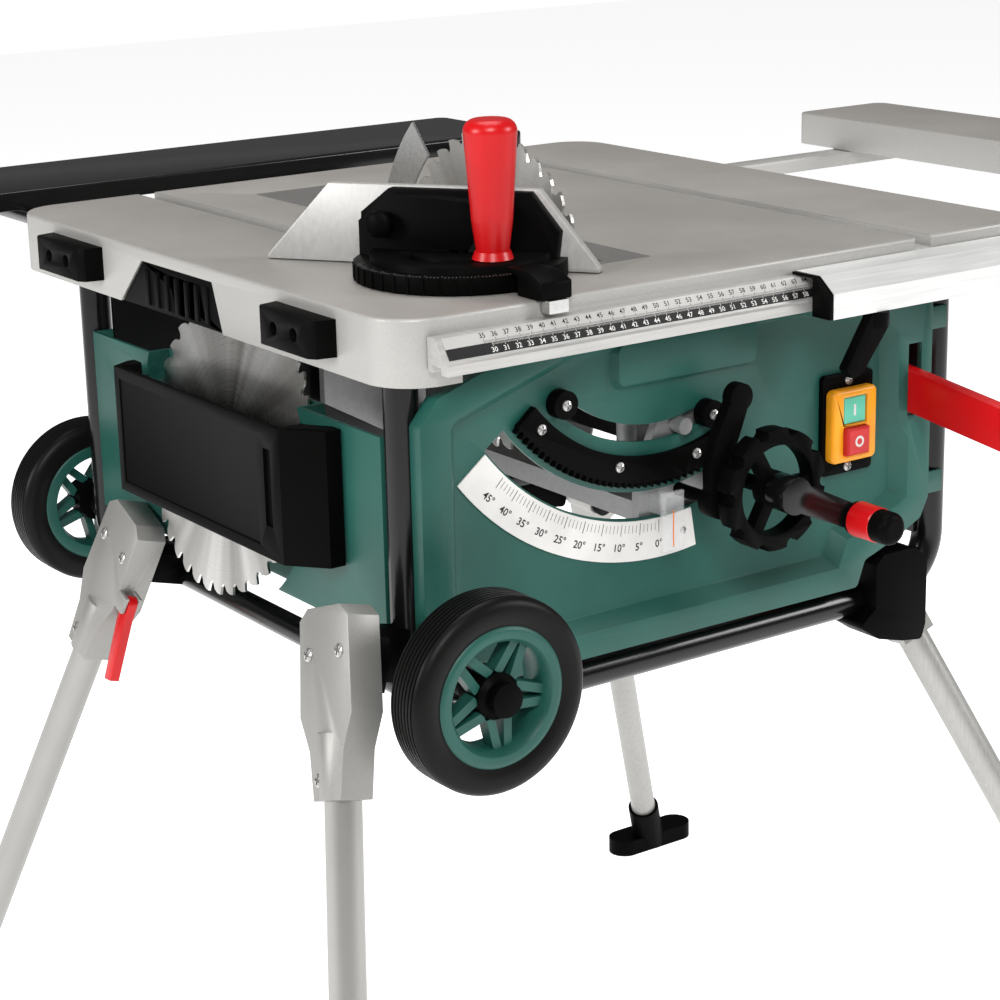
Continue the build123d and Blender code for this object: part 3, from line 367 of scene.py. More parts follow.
# %% Finishes of the CAD nodes
node_finish = {
    table_metal: ["table_top", "extension_table"],
    insert_metal: ["table_insert"],
    rail_metal: ["table_rails"],
    profile_metal: ["extension_profile"],
    fence_metal: ["gauge_fence"],
    green_plastic: ["front_panel", "left_panel", "front_rim", "rear_rim"],
    satin_black: ["front_hoop", "rear_hoop", "side_tubes", "body_covers", "rear_extension", "crank"],
    black_plastic: ["tilt_rack", "switch_plate", "storage_box", "dust_port", "rest_feet", "skirt_hatch",
                    "tilt_clamp_lever", "handwheel", "crank_knob", "gauge_pointer", "gauge_head",
                    "extension_cap", "extension_lever", "corner_brackets", "front_left_foot", "rear_left_foot",
                    "front_right_foot", "rear_right_foot", "motor"],
    white_print: ["tilt_scale"],
    yellow_plastic: ["switch_frame"],
    green_key: ["on_button"],
    red_key: ["off_button"],
    red_plastic: ["gauge_handle", "push_stick", "rear_left_lock"],
    dark_steel: ["panel_screws"],
    spare_steel: ["spare_blade"],
    blade_steel: ["saw_blade"],
    raw_casting: ["tilt_frame", "carriage"],
    bright_steel: ["lift_screw", "arbor", "riving_knife", "gauge_bar"],
    clear_plastic: ["tilt_pointer"],
    tyre_rubber: ["front_tyre", "rear_tyre"],
    tube_metal: ["front_right_leg", "rear_right_leg"],
    front_left_finish: ["front_left_leg"],
    rear_left_finish: ["rear_left_leg"],
}
finish_of = {}
for material, names in node_finish.items():
    for name in names:
        nodes[name].data.materials.clear()
        nodes[name].data.materials.append(material)
        finish_of[name] = material
print("nodes with a finish:", len(finish_of), "without:", sorted(set(nodes) - set(finish_of)))

# %% [markdown]
# Real edges are rounded and catch a line of light. A softened copy of a node
# has its loose triangles merged, flat faces joined and its sharp edges
# bevelled, and then stands for the node.

# %% Softened edges
MERGE_DISTANCE = 0.000004
FLAT_LIMIT = radians(1.0)
BEVEL_LIMIT = radians(38.0)
BEVEL_SEGMENTS = 2
CRISP_LIMIT = radians(35.0)
bodies = frame["record"]["behaviour"]["bodies"]
node_body = {node: body for body, members in bodies.items() for node in members}


def plain_mesh(holder, name):
    """The evaluated shape as a mesh without modifiers."""
    bpy.context.view_layer.update()
    graph = bpy.context.evaluated_depsgraph_get()
    mesh = bpy.data.meshes.new_from_object(holder.evaluated_get(graph))
    mesh.name = name
    return mesh


def smooth_by_angle(mesh, limit):
    """Smooth shading, with edges sharper than the limit kept crisp."""
    work = bmesh.new()
    work.from_mesh(mesh)
    for face in work.faces:
        face.smooth = True
    for edge in work.edges:
        edge.smooth = len(edge.link_faces) == 2 and edge.calc_face_angle(0.0) < limit
    work.to_mesh(mesh)
    work.free()


def softened(node, width):
    """Copy of a node with its sharp edges bevelled by a width in millimetres."""
    copy = nodes[node].data.copy()
    work = bmesh.new()
    work.from_mesh(copy)
    bmesh.ops.remove_doubles(work, verts=work.verts, dist=MERGE_DISTANCE)
    bmesh.ops.dissolve_limit(work, angle_limit=FLAT_LIMIT, verts=work.verts, edges=work.edges)
    work.to_mesh(copy)
    work.free()
    holder = bpy.data.objects.new("soft_" + node, copy)
    bpy.context.scene.collection.objects.link(holder)
    bevel = holder.modifiers.new("edge", "BEVEL")
    bevel.width = width * MM
    bevel.segments = BEVEL_SEGMENTS
    bevel.limit_method = "ANGLE"
    bevel.angle_limit = BEVEL_LIMIT
    bevel.miter_outer = "MITER_ARC"
    mesh = plain_mesh(holder, "soft_" + node)
    holder.modifiers.clear()
    holder.data = mesh
    smooth_by_angle(mesh, CRISP_LIMIT)
    mesh.materials.clear()
    mesh.materials.append(finish_of[node])
    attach(holder, node_body[node])
    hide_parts(node)


soft_edges = {
    "storage_box": 1.2, "rest_feet": 2.0, "corner_brackets": 1.5, "front_left_leg": 2.2, "rear_left_leg": 2.2,
    "switch_plate": 0.8, "switch_frame": 1.0, "tilt_clamp_lever": 2.0, "crank": 1.6, "gauge_head": 1.2,
    "gauge_fence": 0.5, "extension_lever": 1.6, "push_stick": 1.6, "gauge_pointer": 1.2,
    "rear_left_lock": 1.5, "extension_cap": 0.8, "front_panel": 1.2, "left_panel": 0.8, "handwheel": 1.0,
    "skirt_hatch": 0.6, "tilt_rack": 0.4, "rear_extension": 0.8, "extension_table": 0.8, "table_top": 0.9,
}
for node, width in soft_edges.items():
    softened(node, width)
print("softened:", len(soft_edges))

# %% [markdown]
# Rows of marks and screws repeat, so Geometry Nodes place them. The first tree
# puts thin bars along a straight line, as on the front rail; the second puts
# them on an arc, as on the angle scale.

# %% Geometry node helpers
ARC_RESOLUTION = 180


def new_tree(name, inputs):
    """Empty tree with its input sockets and its way out."""
    tree = bpy.data.node_groups.new(name, "GeometryNodeTree")
    tree.interface.new_socket("Geometry", in_out="OUTPUT", socket_type="NodeSocketGeometry")
    for title, kind in inputs:
        tree.interface.new_socket(title, in_out="INPUT", socket_type=kind)
    start = tree.nodes.new("NodeGroupInput")
    end = tree.nodes.new("NodeGroupOutput")
    return tree, start, end


def close_tree(tree, instances, material_socket, end):
    """Realize the copies and give them their finish."""
    real = tree.nodes.new("GeometryNodeRealizeInstances")
    paint = tree.nodes.new("GeometryNodeSetMaterial")
    tree.links.new(instances, real.inputs["Geometry"])
    tree.links.new(real.outputs["Geometry"], paint.inputs["Geometry"])
    tree.links.new(material_socket, paint.inputs["Material"])
    tree.links.new(paint.outputs["Geometry"], end.inputs["Geometry"])


def grown(name, tree, values, place=None, seed_mesh=None):
    """Object made by a tree, turned into a plain mesh with its place applied."""
    holder = bpy.data.objects.new(name, seed_mesh or bpy.data.meshes.new(name + "_seed"))
    bpy.context.scene.collection.objects.link(holder)
    modifier = holder.modifiers.new("grow", "NODES")
    modifier.node_group = tree
    for item in tree.interface.items_tree:
        if item.in_out == "INPUT" and item.name in values:
            modifier[item.identifier] = values[item.name]
    mesh = plain_mesh(holder, name)
    holder.modifiers.clear()
    holder.data = mesh
    if place is not None:
        mesh.transform(place)
    return holder


def settle(holder, body):
    """A finished piece rides its body."""
    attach(holder, body)
    return holder


row_tree, row_in, row_out = new_tree("row_of_marks", [
    ("Count", "NodeSocketInt"), ("Step", "NodeSocketVector"), ("Bar", "NodeSocketVector"),
    ("Finish", "NodeSocketMaterial")])
row_line = row_tree.nodes.new("GeometryNodeMeshLine")
row_bar = row_tree.nodes.new("GeometryNodeMeshCube")
row_copy = row_tree.nodes.new("GeometryNodeInstanceOnPoints")
row_tree.links.new(row_in.outputs["Count"], row_line.inputs["Count"])
row_tree.links.new(row_in.outputs["Step"], row_line.inputs["Offset"])
row_tree.links.new(row_in.outputs["Bar"], row_bar.inputs["Size"])
row_tree.links.new(row_line.outputs["Mesh"], row_copy.inputs["Points"])
row_tree.links.new(row_bar.outputs["Mesh"], row_copy.inputs["Instance"])
close_tree(row_tree, row_copy.outputs["Instances"], row_in.outputs["Finish"], row_out)

arc_tree, arc_in, arc_out = new_tree("arc_of_marks", [
    ("Count", "NodeSocketInt"), ("Radius", "NodeSocketFloat"), ("Start", "NodeSocketFloat"),
    ("Sweep", "NodeSocketFloat"), ("Bar", "NodeSocketVector"), ("Finish", "NodeSocketMaterial")])
arc_line = arc_tree.nodes.new("GeometryNodeCurveArc")
arc_points = arc_tree.nodes.new("GeometryNodeCurveToPoints")
arc_bar = arc_tree.nodes.new("GeometryNodeMeshCube")
arc_copy = arc_tree.nodes.new("GeometryNodeInstanceOnPoints")
arc_face = arc_tree.nodes.new("FunctionNodeAlignRotationToVector")
arc_place = arc_tree.nodes.new("GeometryNodeInputPosition")
arc_line.inputs["Resolution"].default_value = ARC_RESOLUTION
arc_tree.links.new(arc_in.outputs["Radius"], arc_line.inputs["Radius"])
arc_tree.links.new(arc_in.outputs["Start"], arc_line.inputs["Start Angle"])
arc_tree.links.new(arc_in.outputs["Sweep"], arc_line.inputs["Sweep Angle"])
arc_tree.links.new(arc_line.outputs["Curve"], arc_points.inputs["Curve"])
arc_tree.links.new(arc_in.outputs["Count"], arc_points.inputs["Count"])
arc_tree.links.new(arc_in.outputs["Bar"], arc_bar.inputs["Size"])
arc_face.axis = "X"
arc_tree.links.new(arc_place.outputs["Position"], arc_face.inputs["Vector"])
arc_tree.links.new(arc_points.outputs["Points"], arc_copy.inputs["Points"])
arc_tree.links.new(arc_bar.outputs["Mesh"], arc_copy.inputs["Instance"])
arc_tree.links.new(arc_face.outputs["Rotation"], arc_copy.inputs["Rotation"])
close_tree(arc_tree, arc_copy.outputs["Instances"], arc_in.outputs["Finish"], arc_out)
print("trees:", [tree.name for tree in bpy.data.node_groups])

# %% [markdown]
# Numerals are text objects turned into flat meshes. Each one is placed by a
# basis: which way it reads, which way is up and which way it faces. Printed
# strips and signs are thin plates over four corners.

# %% Numerals and plates


def basis(origin, right, up):
    """Matrix that lays a flat shape at a place, from its right and its up."""
    right = Vector(right).normalized()
    up = Vector(up).normalized()
    facing = right.cross(up)
    return Matrix.Translation(Vector(origin)) @ Matrix((right, up, facing)).transposed().to_4x4()


def object_from(work, name, material):
    """Object from a finished bmesh, with its material."""
    mesh = bpy.data.meshes.new(name)
    work.to_mesh(mesh)
    work.free()
    mesh.materials.append(material)
    holder = bpy.data.objects.new(name, mesh)
    bpy.context.scene.collection.objects.link(holder)
    return holder


def numerals(name, entries, size, material):
    """One flat mesh from (text, place) pairs."""
    joined = bmesh.new()
    for text, place in entries:
        curve = bpy.data.curves.new("numeral", "FONT")
        curve.body = text
        curve.size = size
        curve.align_x = "CENTER"
        curve.align_y = "CENTER"
        curve.resolution_u = 3
        curve.offset = size * 0.012
        holder = bpy.data.objects.new("numeral", curve)
        bpy.context.scene.collection.objects.link(holder)
        mesh = plain_mesh(holder, "numeral")
        mesh.transform(place)
        joined.from_mesh(mesh)
        bpy.data.objects.remove(holder)
    return object_from(joined, name, material)


def slab(name, corners, thickness, material):
    """Thin plate over four corners, raised along its own normal."""
    work = bmesh.new()
    low = [work.verts.new(Vector(corner)) for corner in corners]
    normal = (low[1].co - low[0].co).cross(low[2].co - low[1].co).normalized()
    high = [work.verts.new(vert.co + normal * thickness) for vert in low]
    work.faces.new(high)
    work.faces.new(list(reversed(low)))
    for index in range(4):
        after = (index + 1) % 4
        work.faces.new((low[index], low[after], high[after], high[index]))
    return object_from(work, name, material)


print("numeral helpers ready")

# %% [markdown]
# The front rail has two printed strips on its sloped face: a pale one with
# dark marks and below it a black one with white marks. They read centimetres.

# %% Scales on the front rail
SLOPE_TOP = Vector((0.0, -37.0, -12.0)) * MM
SLOPE_DOWN = Vector((0.0, -11.0, -16.0)).normalized()
SLOPE_OUT = Vector((0.0, -16.0, 11.0)).normalized()
STRIP_THICK = 0.25 * MM
SCALE_LEFT = -0.203
SCALE_RIGHT = 0.374
SCALE_BLANK = 0.032
CENTIMETRE = 0.010
SHORT_MARK = 1.5
LONG_MARK = 2.6
PRINT_LIFT = 0.30
PRINT_THICK = 0.06 * MM
RAIL_NUMERAL = 5.2 * MM


def on_slope(x, down, out=0.0):
    """Point on the sloped face, millimetres down from its top edge and out of it."""
    return Vector((x, 0.0, 0.0)) + SLOPE_TOP + SLOPE_DOWN * down * MM + SLOPE_OUT * out * MM


def rail_strip(name, edges, materials, first, shift, root, way):
    """Strip with marks that start at the root line and point up (-1) or down (1)."""
    top, bottom = edges
    strip_material, mark_material = materials
    corners = [(SCALE_LEFT, bottom), (SCALE_RIGHT, bottom), (SCALE_RIGHT, top), (SCALE_LEFT, top)]
    strip = slab(name, [on_slope(x, down) for x, down in corners], STRIP_THICK, strip_material)
    settle(strip, "frame")
    start = SCALE_LEFT + SCALE_BLANK + shift
    count = int((SCALE_RIGHT - start) / CENTIMETRE)
    turn = basis((0, 0, 0), (1, 0, 0), -SLOPE_DOWN)
    for length, step, width in ((SHORT_MARK, 0.1, 0.22), (LONG_MARK, 1.0, 0.35)):
        origin = on_slope(start, root, PRINT_LIFT) + SLOPE_DOWN * (length / 2) * MM * way
        bars = grown(name + "_marks_" + str(int(step * 10)), row_tree, {
            "Count": int(count / step) + 1, "Step": (CENTIMETRE * step, 0.0, 0.0),
            "Bar": (width * MM, length * MM, PRINT_THICK), "Finish": mark_material},
            Matrix.Translation(origin) @ turn)
        settle(bars, "frame")
    middle = (root + way * LONG_MARK + (bottom if way > 0 else top)) / 2
    entries = []
    for index in range(count + 1):
        place = on_slope(start + CENTIMETRE * index, middle, PRINT_LIFT)
        entries.append((str(first + index), basis(place, (1, 0, 0), -SLOPE_DOWN)))
    settle(numerals(name + "_numbers", entries, RAIL_NUMERAL, mark_material), "frame")
    return count


pale_count = rail_strip("pale_strip", (1.0, 9.2), (silver_print, black_print), 35, 0.0, 8.9, -1)
dark_count = rail_strip("dark_strip", (9.4, 17.6), (black_print, white_print), 30, 0.006, 9.7, 1)
print("rail marks in centimetres:", pale_count, dark_count)

# %% [markdown]
# The angle scale counts from 0 under the pointer to 45 on the left, because
# the lower end of the blade swings left as it tilts.

# %% Angle scale
TILT_AXIS = Vector((0.0, 0.0, 14.0)) * MM
SCALE_FACE = -15.3 * MM
NUMBER_RADIUS = 0.2155
ANGLE_NUMERAL = 8.0 * MM
POINTER_FACE = -32.7


def on_scale(radius, degrees, forward=0.0):
    """Point on the scale's face, by its distance and angle from the tilt axis."""
    angle = radians(degrees)
    return TILT_AXIS + Vector((sin(angle) * radius, SCALE_FACE - forward, -cos(angle) * radius))


face_centre = TILT_AXIS + Vector((0.0, SCALE_FACE, 0.0))
upright_turn = Matrix.Translation(face_centre) @ Matrix.Rotation(radians(90), 4, "X")
angle_rows = (("fine", 46, 0.2045, 6.0, 0.35), ("coarse", 10, 0.2065, 9.0, 0.5))
for title, count, outer, length, width in angle_rows:
    ticks = grown("angle_marks_" + title, arc_tree, {
        "Count": count, "Radius": outer - length / 2 * MM, "Start": radians(-135.0), "Sweep": radians(45.0),
        "Bar": (length * MM, width * MM, 0.08 * MM), "Finish": grey_print}, upright_turn)
    settle(ticks, "frame")
angle_entries = []
for reading in range(0, 50, 5):
    angle = radians(-reading)
    outward = Vector((sin(angle), 0.0, -cos(angle)))
    across = Vector((cos(angle), 0.0, sin(angle)))
    place = on_scale(NUMBER_RADIUS, -reading, 0.05 * MM)
    angle_entries.append((str(reading) + "°", basis(place, across, -outward)))
settle(numerals("angle_numbers", angle_entries, ANGLE_NUMERAL, black_print), "frame")
line_corners = ((-0.5, -200), (0.5, -200), (0.5, -172), (-0.5, -172))
pointer_line = slab("pointer_line", [Vector((x, POINTER_FACE, z)) * MM for x, z in line_corners],
                    0.1 * MM, orange_print)
settle(pointer_line, "tilt")
print("angle numbers:", len(angle_entries))

# %% [markdown]
# Turned shapes, such as tyres and rings, come from a half outline that is spun
# about an axis. The tyre's tread is a row of grooves in that outline.

# %% Turned shapes
TURNED_CRISP = radians(40.0)
SPOKE_PAIRS = 5
SPOKE_SIZE = (24.5 * MM, 11.0 * MM, 6.5 * MM, 1.0)
SPOKE_REACH = 27.0 * MM
SPOKE_FORWARD = 4.5 * MM
SPOKE_APART = 5.6 * MM
SPOKE_LEAN = radians(7.0)
SPOKE_START = radians(12.0)


def turned(name, outline, origin, axis, material, steps):
    """Spin (radius, along) points, a closed loop, about an axis."""
    axis = Vector(axis).normalized()
    side = axis.orthogonal().normalized()
    other = axis.cross(side)
    work = bmesh.new()
    rings = []
    for index in range(steps):
        angle = 2 * pi * index / steps
        out = side * cos(angle) + other * sin(angle)
        rings.append([work.verts.new(Vector(origin) + out * radius + axis * along) for radius, along in outline])
    for index in range(steps):
        here, there = rings[index], rings[(index + 1) % steps]
        for spot in range(len(outline)):
            after = (spot + 1) % len(outline)
            work.faces.new((here[spot], here[after], there[after], there[spot]))
    bmesh.ops.recalc_face_normals(work, faces=work.faces)
    holder = object_from(work, name, material)
    smooth_by_angle(holder.data, TURNED_CRISP)
    return holder


def in_metres(outline, sign=1):
    """Outline from millimetres, mirrored along the axis by a sign of -1."""
    return [(radius * MM, along * sign * MM) for radius, along in outline]


def add_spokes(mesh, middle, sign):
    """Pairs of spokes between hub and rim, set back from the rim's lip."""
    work = bmesh.new()
    work.from_mesh(mesh)
    for pair in range(SPOKE_PAIRS):
        turn = Matrix.Rotation(2 * pi * pair / SPOKE_PAIRS + SPOKE_START, 4, "Y")
        for side in (-1, 1):
            bar = bmesh.ops.create_cube(work, size=1.0)
            lean = Matrix.Rotation(SPOKE_LEAN * side, 4, "Y")
            size = Matrix.Diagonal(SPOKE_SIZE)
            place = Matrix.Translation((SPOKE_REACH, SPOKE_FORWARD * sign, SPOKE_APART * side))
            whole = Matrix.Translation(middle) @ turn @ place @ lean @ size
            bmesh.ops.transform(work, matrix=whole, verts=bar["verts"])
    bmesh.ops.recalc_face_normals(work, faces=work.faces)
    work.to_mesh(mesh)
    work.free()


TYRE_OUTER = 70.0
TYRE_INNER = 50.0
GROOVES = 7
GROOVE_PITCH = 3.7
WHEEL_X = -213.0
WHEEL_Z = -244.0
tyre_outline = [(TYRE_INNER, -16.0), (53.0, -17.0), (56.0, -17.9), (62.0, -18.0), (66.5, -16.8), (69.0, -14.2)]
for groove in range(GROOVES):
    groove_middle = (groove - (GROOVES - 1) / 2) * GROOVE_PITCH
    for step, depth in ((-0.95, 0.0), (-0.5, 1.5), (0.5, 1.5), (0.95, 0.0)):
        tyre_outline.append((TYRE_OUTER - depth - 0.02 * abs(groove_middle), groove_middle + step))
tyre_outline += [(69.0, 14.2), (66.5, 16.8), (62.0, 18.0), (56.0, 17.9), (53.0, 17.0), (TYRE_INNER, 16.0)]
rim_outline = [(49.9, -16.0), (49.9, 16.0), (48.5, 17.4), (46.0, 17.8), (41.5, 17.0), (39.0, 14.0), (37.5, 5.0),
               (37.0, -6.0), (40.0, -15.5), (46.0, -17.0), (48.8, -17.0)]
hub_outline = [(7.2, -11.0), (7.2, 15.0), (13.0, 15.0), (16.5, 11.5), (17.0, -11.0)]
for title, wheel_y, sign in (("front", -98.0, -1), ("rear", 504.0, 1)):
    middle = Vector((WHEEL_X, wheel_y, WHEEL_Z)) * MM
    tyre = turned(title + "_tread_tyre", in_metres(tyre_outline), middle, (0, 1, 0), tyre_rubber, 112)
    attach(tyre, title + "_wheel")
    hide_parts(title + "_tyre")
    rim = turned(title + "_spoked_rim", in_metres(rim_outline, sign), middle, (0, 1, 0), green_plastic, 96)
    add_spokes(rim.data, middle, sign)
    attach(rim, title + "_wheel")
    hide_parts(title + "_rim")
    hub = turned(title + "_hub", in_metres(hub_outline, sign), middle, (0, 1, 0), black_plastic, 48)
    settle(hub, title + "_wheel")
knob_centre = Vector((118.753, 0.0, -184.561)) * MM
ring_outline = [(12.2 * MM, -0.1255), (13.2 * MM, -0.1245), (13.4 * MM, -0.1035), (12.2 * MM, -0.1025)]
ring = turned("knob_red_ring", ring_outline, knob_centre, (0, 1, 0), red_plastic, 48)
settle(ring, "crank_knob")
print("tyre outline points:", len(tyre_outline))

# %% [markdown]
# Each blade is a thin disc with forty teeth. Around the rim the outline runs
# down a tooth's back, turns through a gullet and climbs the next tooth's face.

# %% Toothed blades
TEETH = 40
BORE = 0.015
BLADE_RADIUS = 0.127
BLADE_THICK = 2.4 * MM
SPARE_RADIUS = 0.120
SPARE_THICK = 2.0 * MM
# Share of the pitch, and millimetres from the circle of the tips
TOOTH_SHAPE = ((0.00, 0.0), (0.16, -0.4), (0.34, -1.4), (0.52, -3.4), (0.62, -6.4), (0.74, -8.6), (0.86, -8.4),
               (0.95, -6.2), (0.985, -2.6))


def toothed(name, centre, axis, radius, thickness, material):
    """Disc with a bore and teeth, thick along its axis."""
    axis = Vector(axis).normalized()
    across = Vector((0, 1, 0))
    upward = axis.cross(across)
    work = bmesh.new()
    layers = []
    for offset in (-thickness / 2, thickness / 2):
        outer = []
        inner = []
        for tooth in range(TEETH):
            for part, drop in TOOTH_SHAPE:
                angle = 2 * pi * (tooth + part) / TEETH
                out = across * cos(angle) + upward * sin(angle)
                outer.append(work.verts.new(centre + axis * offset + out * (radius + drop * MM)))
                inner.append(work.verts.new(centre + axis * offset + out * BORE))
        layers.append((outer, inner))
    count = len(layers[0][0])
    for index in range(count):
        after = (index + 1) % count
        for outer, inner in layers:
            work.faces.new((outer[index], outer[after], inner[after], inner[index]))
        for left, right in zip(*layers):
            work.faces.new((left[index], left[after], right[after], right[index]))
    bmesh.ops.recalc_face_normals(work, faces=work.faces)
    return object_from(work, name, material)


blade = toothed("toothed_blade", BLADE_CENTRE, (1, 0, 0), BLADE_RADIUS, BLADE_THICK, blade_steel)
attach(blade, "blade")
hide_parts("saw_blade")
spare = toothed("toothed_spare", SPARE_CENTRE, SPARE_AXIS, SPARE_RADIUS, SPARE_THICK, spare_steel)
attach(spare, "frame")
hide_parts("spare_blade")
print("teeth on each blade:", TEETH)

# %% [markdown]
# A screw head is a low dome with a cross in it. One head is modelled, and a
# tree copies it to every place, turned to face the way each point says.

# %% Screw heads


def screw_head(radius, height):
    """Domed head with a cross recess, facing +Z."""
    work = bmesh.new()
    arm = 0.16
    reach = 0.62
    top = []
    for quarter in range(4):
        turn = Matrix.Rotation(quarter * pi / 2, 3, "Z")
        for x, y in ((reach, -arm), (reach, arm), (arm, arm)):
            top.append(turn @ Vector((x * radius, y * radius, height * 0.86)))
    recess = [work.verts.new(point - Vector((0, 0, height * 0.55))) for point in top]
    lip = [work.verts.new(point) for point in top]
    shoulder = []
    foot = []
    for point in top:
        out = Vector((point.x, point.y, 0)).normalized()
        shoulder.append(work.verts.new(out * radius * 0.97 + Vector((0, 0, height * 0.45))))
        foot.append(work.verts.new(out * radius))
    work.faces.new(recess)
    work.faces.new(list(reversed(foot)))
    for index in range(len(top)):
        after = (index + 1) % len(top)
        for inner, outer in ((recess, lip), (lip, shoulder), (shoulder, foot)):
            work.faces.new((inner[index], outer[index], outer[after], inner[after]))
    bmesh.ops.recalc_face_normals(work, faces=work.faces)
    mesh = bpy.data.meshes.new("screw_head")
    work.to_mesh(mesh)
    work.free()
    return bpy.data.objects.new("screw_head", mesh)


screw_tree, screw_in, screw_out = new_tree("placed_heads", [
    ("Points", "NodeSocketGeometry"), ("Head", "NodeSocketObject"), ("Finish", "NodeSocketMaterial")])
head_shape = screw_tree.nodes.new("GeometryNodeObjectInfo")
head_copy = screw_tree.nodes.new("GeometryNodeInstanceOnPoints")
head_face = screw_tree.nodes.new("FunctionNodeAlignRotationToVector")
head_way = screw_tree.nodes.new("GeometryNodeInputNamedAttribute")
head_way.data_type = "FLOAT_VECTOR"
head_way.inputs["Name"].default_value = "facing"
head_face.axis = "Z"
screw_tree.links.new(screw_in.outputs["Points"], head_copy.inputs["Points"])
screw_tree.links.new(screw_in.outputs["Head"], head_shape.inputs["Object"])
screw_tree.links.new(head_shape.outputs["Geometry"], head_copy.inputs["Instance"])
screw_tree.links.new(head_way.outputs["Attribute"], head_face.inputs["Vector"])
screw_tree.links.new(head_face.outputs["Rotation"], head_copy.inputs["Rotation"])
close_tree(screw_tree, head_copy.outputs["Instances"], screw_in.outputs["Finish"], screw_out)


def screws(name, places, radius, height, body):
    """Heads at (point, facing) pairs, given in metres."""
    seed = bpy.data.meshes.new(name + "_points")
    seed.from_pydata([tuple(point) for point, facing in places], [], [])
    facings = seed.attributes.new("facing", "FLOAT_VECTOR", "POINT")
    for index, (point, facing) in enumerate(places):
        facings.data[index].vector = Vector(facing).normalized()
    head = screw_head(radius, height)
    holder = grown(name, screw_tree, {"Head": head, "Finish": dark_steel}, None, seed)
    return settle(holder, body)


FRONT_WAY = (0.0, -1.0, 0.0)
LEFT_WAY = (-1.0, 0.0, 0.0)
LEG_OUTWARD = Vector((-0.970, 0.0, 0.2425)).normalized()
CASTING_FACE = 13.0 * MM
panel_points = []
for degrees in (-45, -15, 12):
    panel_points.append((on_scale(0.154, degrees), -20.0))
for degrees in (-44, 20):
    panel_points.append((on_scale(0.130, degrees), -25.0))
for z in (-173.5, -104.5):
    panel_points.append((Vector((184.0, 0.0, z)) * MM, -19.0))
panel_places = [(Vector((point.x, y * MM, point.z)), FRONT_WAY) for point, y in panel_points]
panel_heads = screws("panel_heads", panel_places, 4.0 * MM, 2.4 * MM, "frame")
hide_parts("panel_screws")
scale_spot = on_scale(0.211, 6.3)
scale_place = Vector((scale_spot.x, -15.2 * MM, scale_spot.z))
screws("scale_head", [(scale_place, FRONT_WAY)], 2.8 * MM, 1.4 * MM, "frame")
for title, pivot, down in (("front_left", front_left_pivot, front_left_down),
                           ("rear_left", rear_left_pivot, rear_left_down)):
    along = LEG_OUTWARD.cross(down)
    leg_places = []
    for u, v in ((-4, -19), (-4, 19), (82, -9)):
        leg_places.append((pivot + down * u * MM + along * v * MM + LEG_OUTWARD * CASTING_FACE, LEG_OUTWARD))
    screws(title + "_leg_heads", leg_places, 5.0 * MM, 2.2 * MM, title + "_leg")
foot_spots = []
for start, end in ((48.0, 130.0), (408.0, 499.0)):
    for share in (0.33, 0.67):
        foot_spots.append((Vector((-246.0, start + (end - start) * share, -22.0)) * MM, LEFT_WAY))
screws("rest_foot_heads", foot_spots, 4.0 * MM, 2.0 * MM, "frame")
print("screws on the panel:", len(panel_points))

# %% [markdown]
# The two push buttons carry the plain signs for on and off, in white.

# %% Button signs
on_corners = ((182.9, -131.5), (185.1, -131.5), (185.1, -122.5), (182.9, -122.5))
on_sign = slab("on_sign", [Vector((x, -27.0, z)) * MM for x, z in on_corners], 0.12 * MM, white_print)
settle(on_sign, "on_button")
off_outline = [(2.6, -33.0), (4.4, -33.0), (4.4, -33.12), (2.6, -33.12)]
off_centre = Vector((184.0, 0.0, -151.0)) * MM
off_sign = turned("off_sign", in_metres(off_outline), off_centre, (0, 1, 0), white_print, 48)
settle(off_sign, "off_button")
print("button signs: 2")

# %% [markdown]
# The gauge's half round has ribs on its edge, for a grip, and marks on top.
# A small clamp knob sits on its upright.

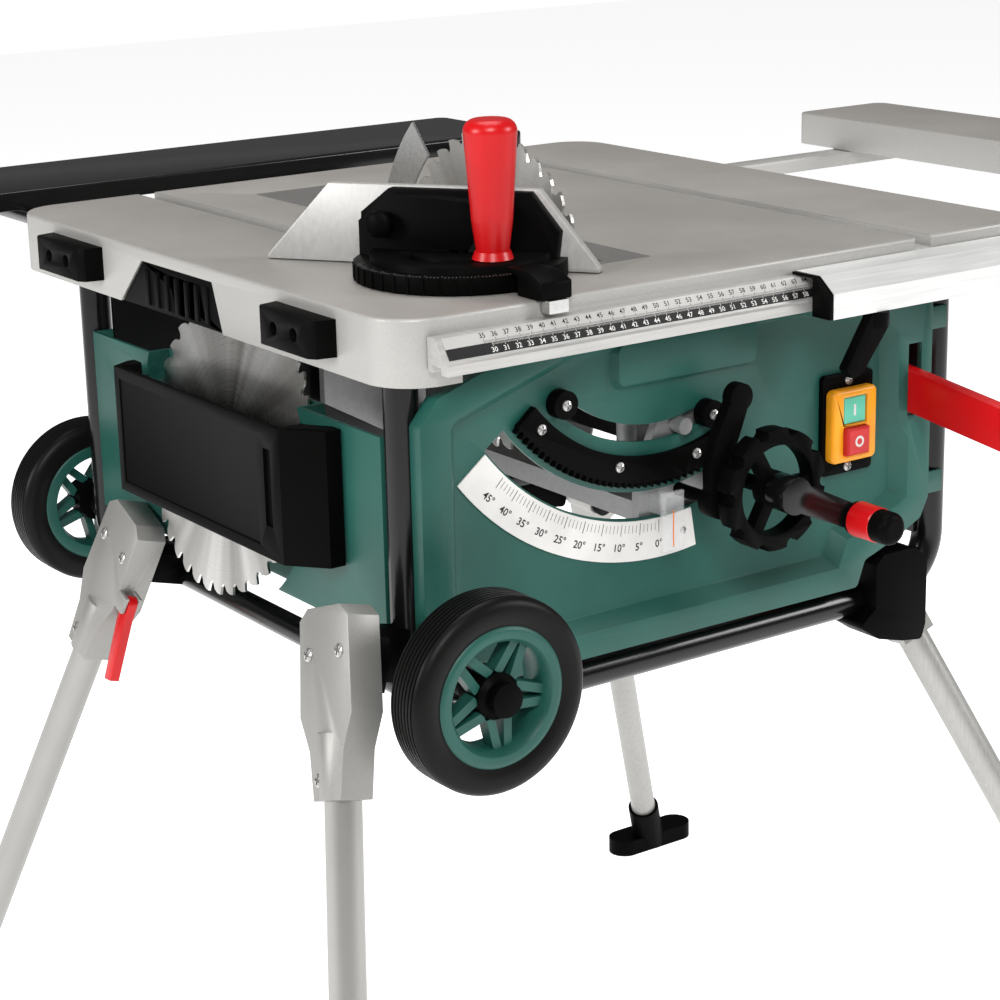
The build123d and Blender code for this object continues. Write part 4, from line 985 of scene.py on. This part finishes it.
# %% Gauge details
GAUGE_PIVOT = Vector((-105.0, 82.0, 0.0)) * MM
FENCE_TURN = radians(-54.5)
RIBS = 19
gauge_turn = Matrix.Translation(GAUGE_PIVOT) @ Matrix.Rotation(FENCE_TURN, 4, "Z")
ribs = grown("gauge_ribs", arc_tree, {
    "Count": RIBS, "Radius": 78.0 * MM, "Start": radians(-166.0), "Sweep": radians(152.0),
    "Bar": (1.6 * MM, 2.2 * MM, 11.6 * MM), "Finish": black_plastic},
    gauge_turn @ Matrix.Translation((0, 0, 6.8 * MM)))
settle(ribs, "gauge_head")
for title, count, length in (("fine", 61, 3.0), ("coarse", 13, 5.5)):
    marks = grown("gauge_marks_" + title, arc_tree, {
        "Count": count, "Radius": (76.5 - length / 2) * MM, "Start": radians(-150.0), "Sweep": radians(120.0),
        "Bar": (length * MM, 0.45 * MM, 0.16 * MM), "Finish": grey_print},
        gauge_turn @ Matrix.Translation((0, 0, 13.05 * MM)))
    settle(marks, "gauge_head")
along = Vector((cos(FENCE_TURN), sin(FENCE_TURN), 0.0))
across = Vector((-along.y, along.x, 0.0))
clamp_place = GAUGE_PIVOT + along * -59.0 * MM + across * -3.5 * MM + Vector((0, 0, 37.0 * MM))
clamp_outline = [(0.4, 0.0), (6.0, 0.0), (6.0, 3.0), (9.6, 4.0), (10.0, 6.5), (9.6, 10.0), (8.0, 11.4),
                 (0.4, 12.0)]
clamp_knob = turned("gauge_clamp_knob", in_metres(clamp_outline), clamp_place, -across, black_plastic, 40)
settle(clamp_knob, "gauge_head")
print("gauge ribs:", RIBS)

# %% [markdown]
# A pale floor carries the shadows, and glows so that it stays white.
# It is part of the picture and not of the saw.

# %% Floor
FLOOR_Z = -0.8
FLOOR_HALF = 9
floor_mesh = bpy.data.meshes.new("floor")
floor_corners = [(x * FLOOR_HALF, y * FLOOR_HALF, FLOOR_Z) for x, y in ((-1, -1), (1, -1), (1, 1), (-1, 1))]
floor_mesh.from_pydata(floor_corners, [], [(0, 1, 2, 3)])
floor = bpy.data.objects.new("floor", floor_mesh)
pale_floor = Finish("pale_floor", {"Base Color": rgba((0.9, 0.9, 0.9)), "Roughness": 0.8,
                                   "Emission Color": rgba((1.0, 1.0, 1.0)), "Emission Strength": 0.80})
floor_mesh.materials.append(pale_floor.material)
bpy.context.scene.collection.objects.link(floor)
print("floor at", FLOOR_Z)
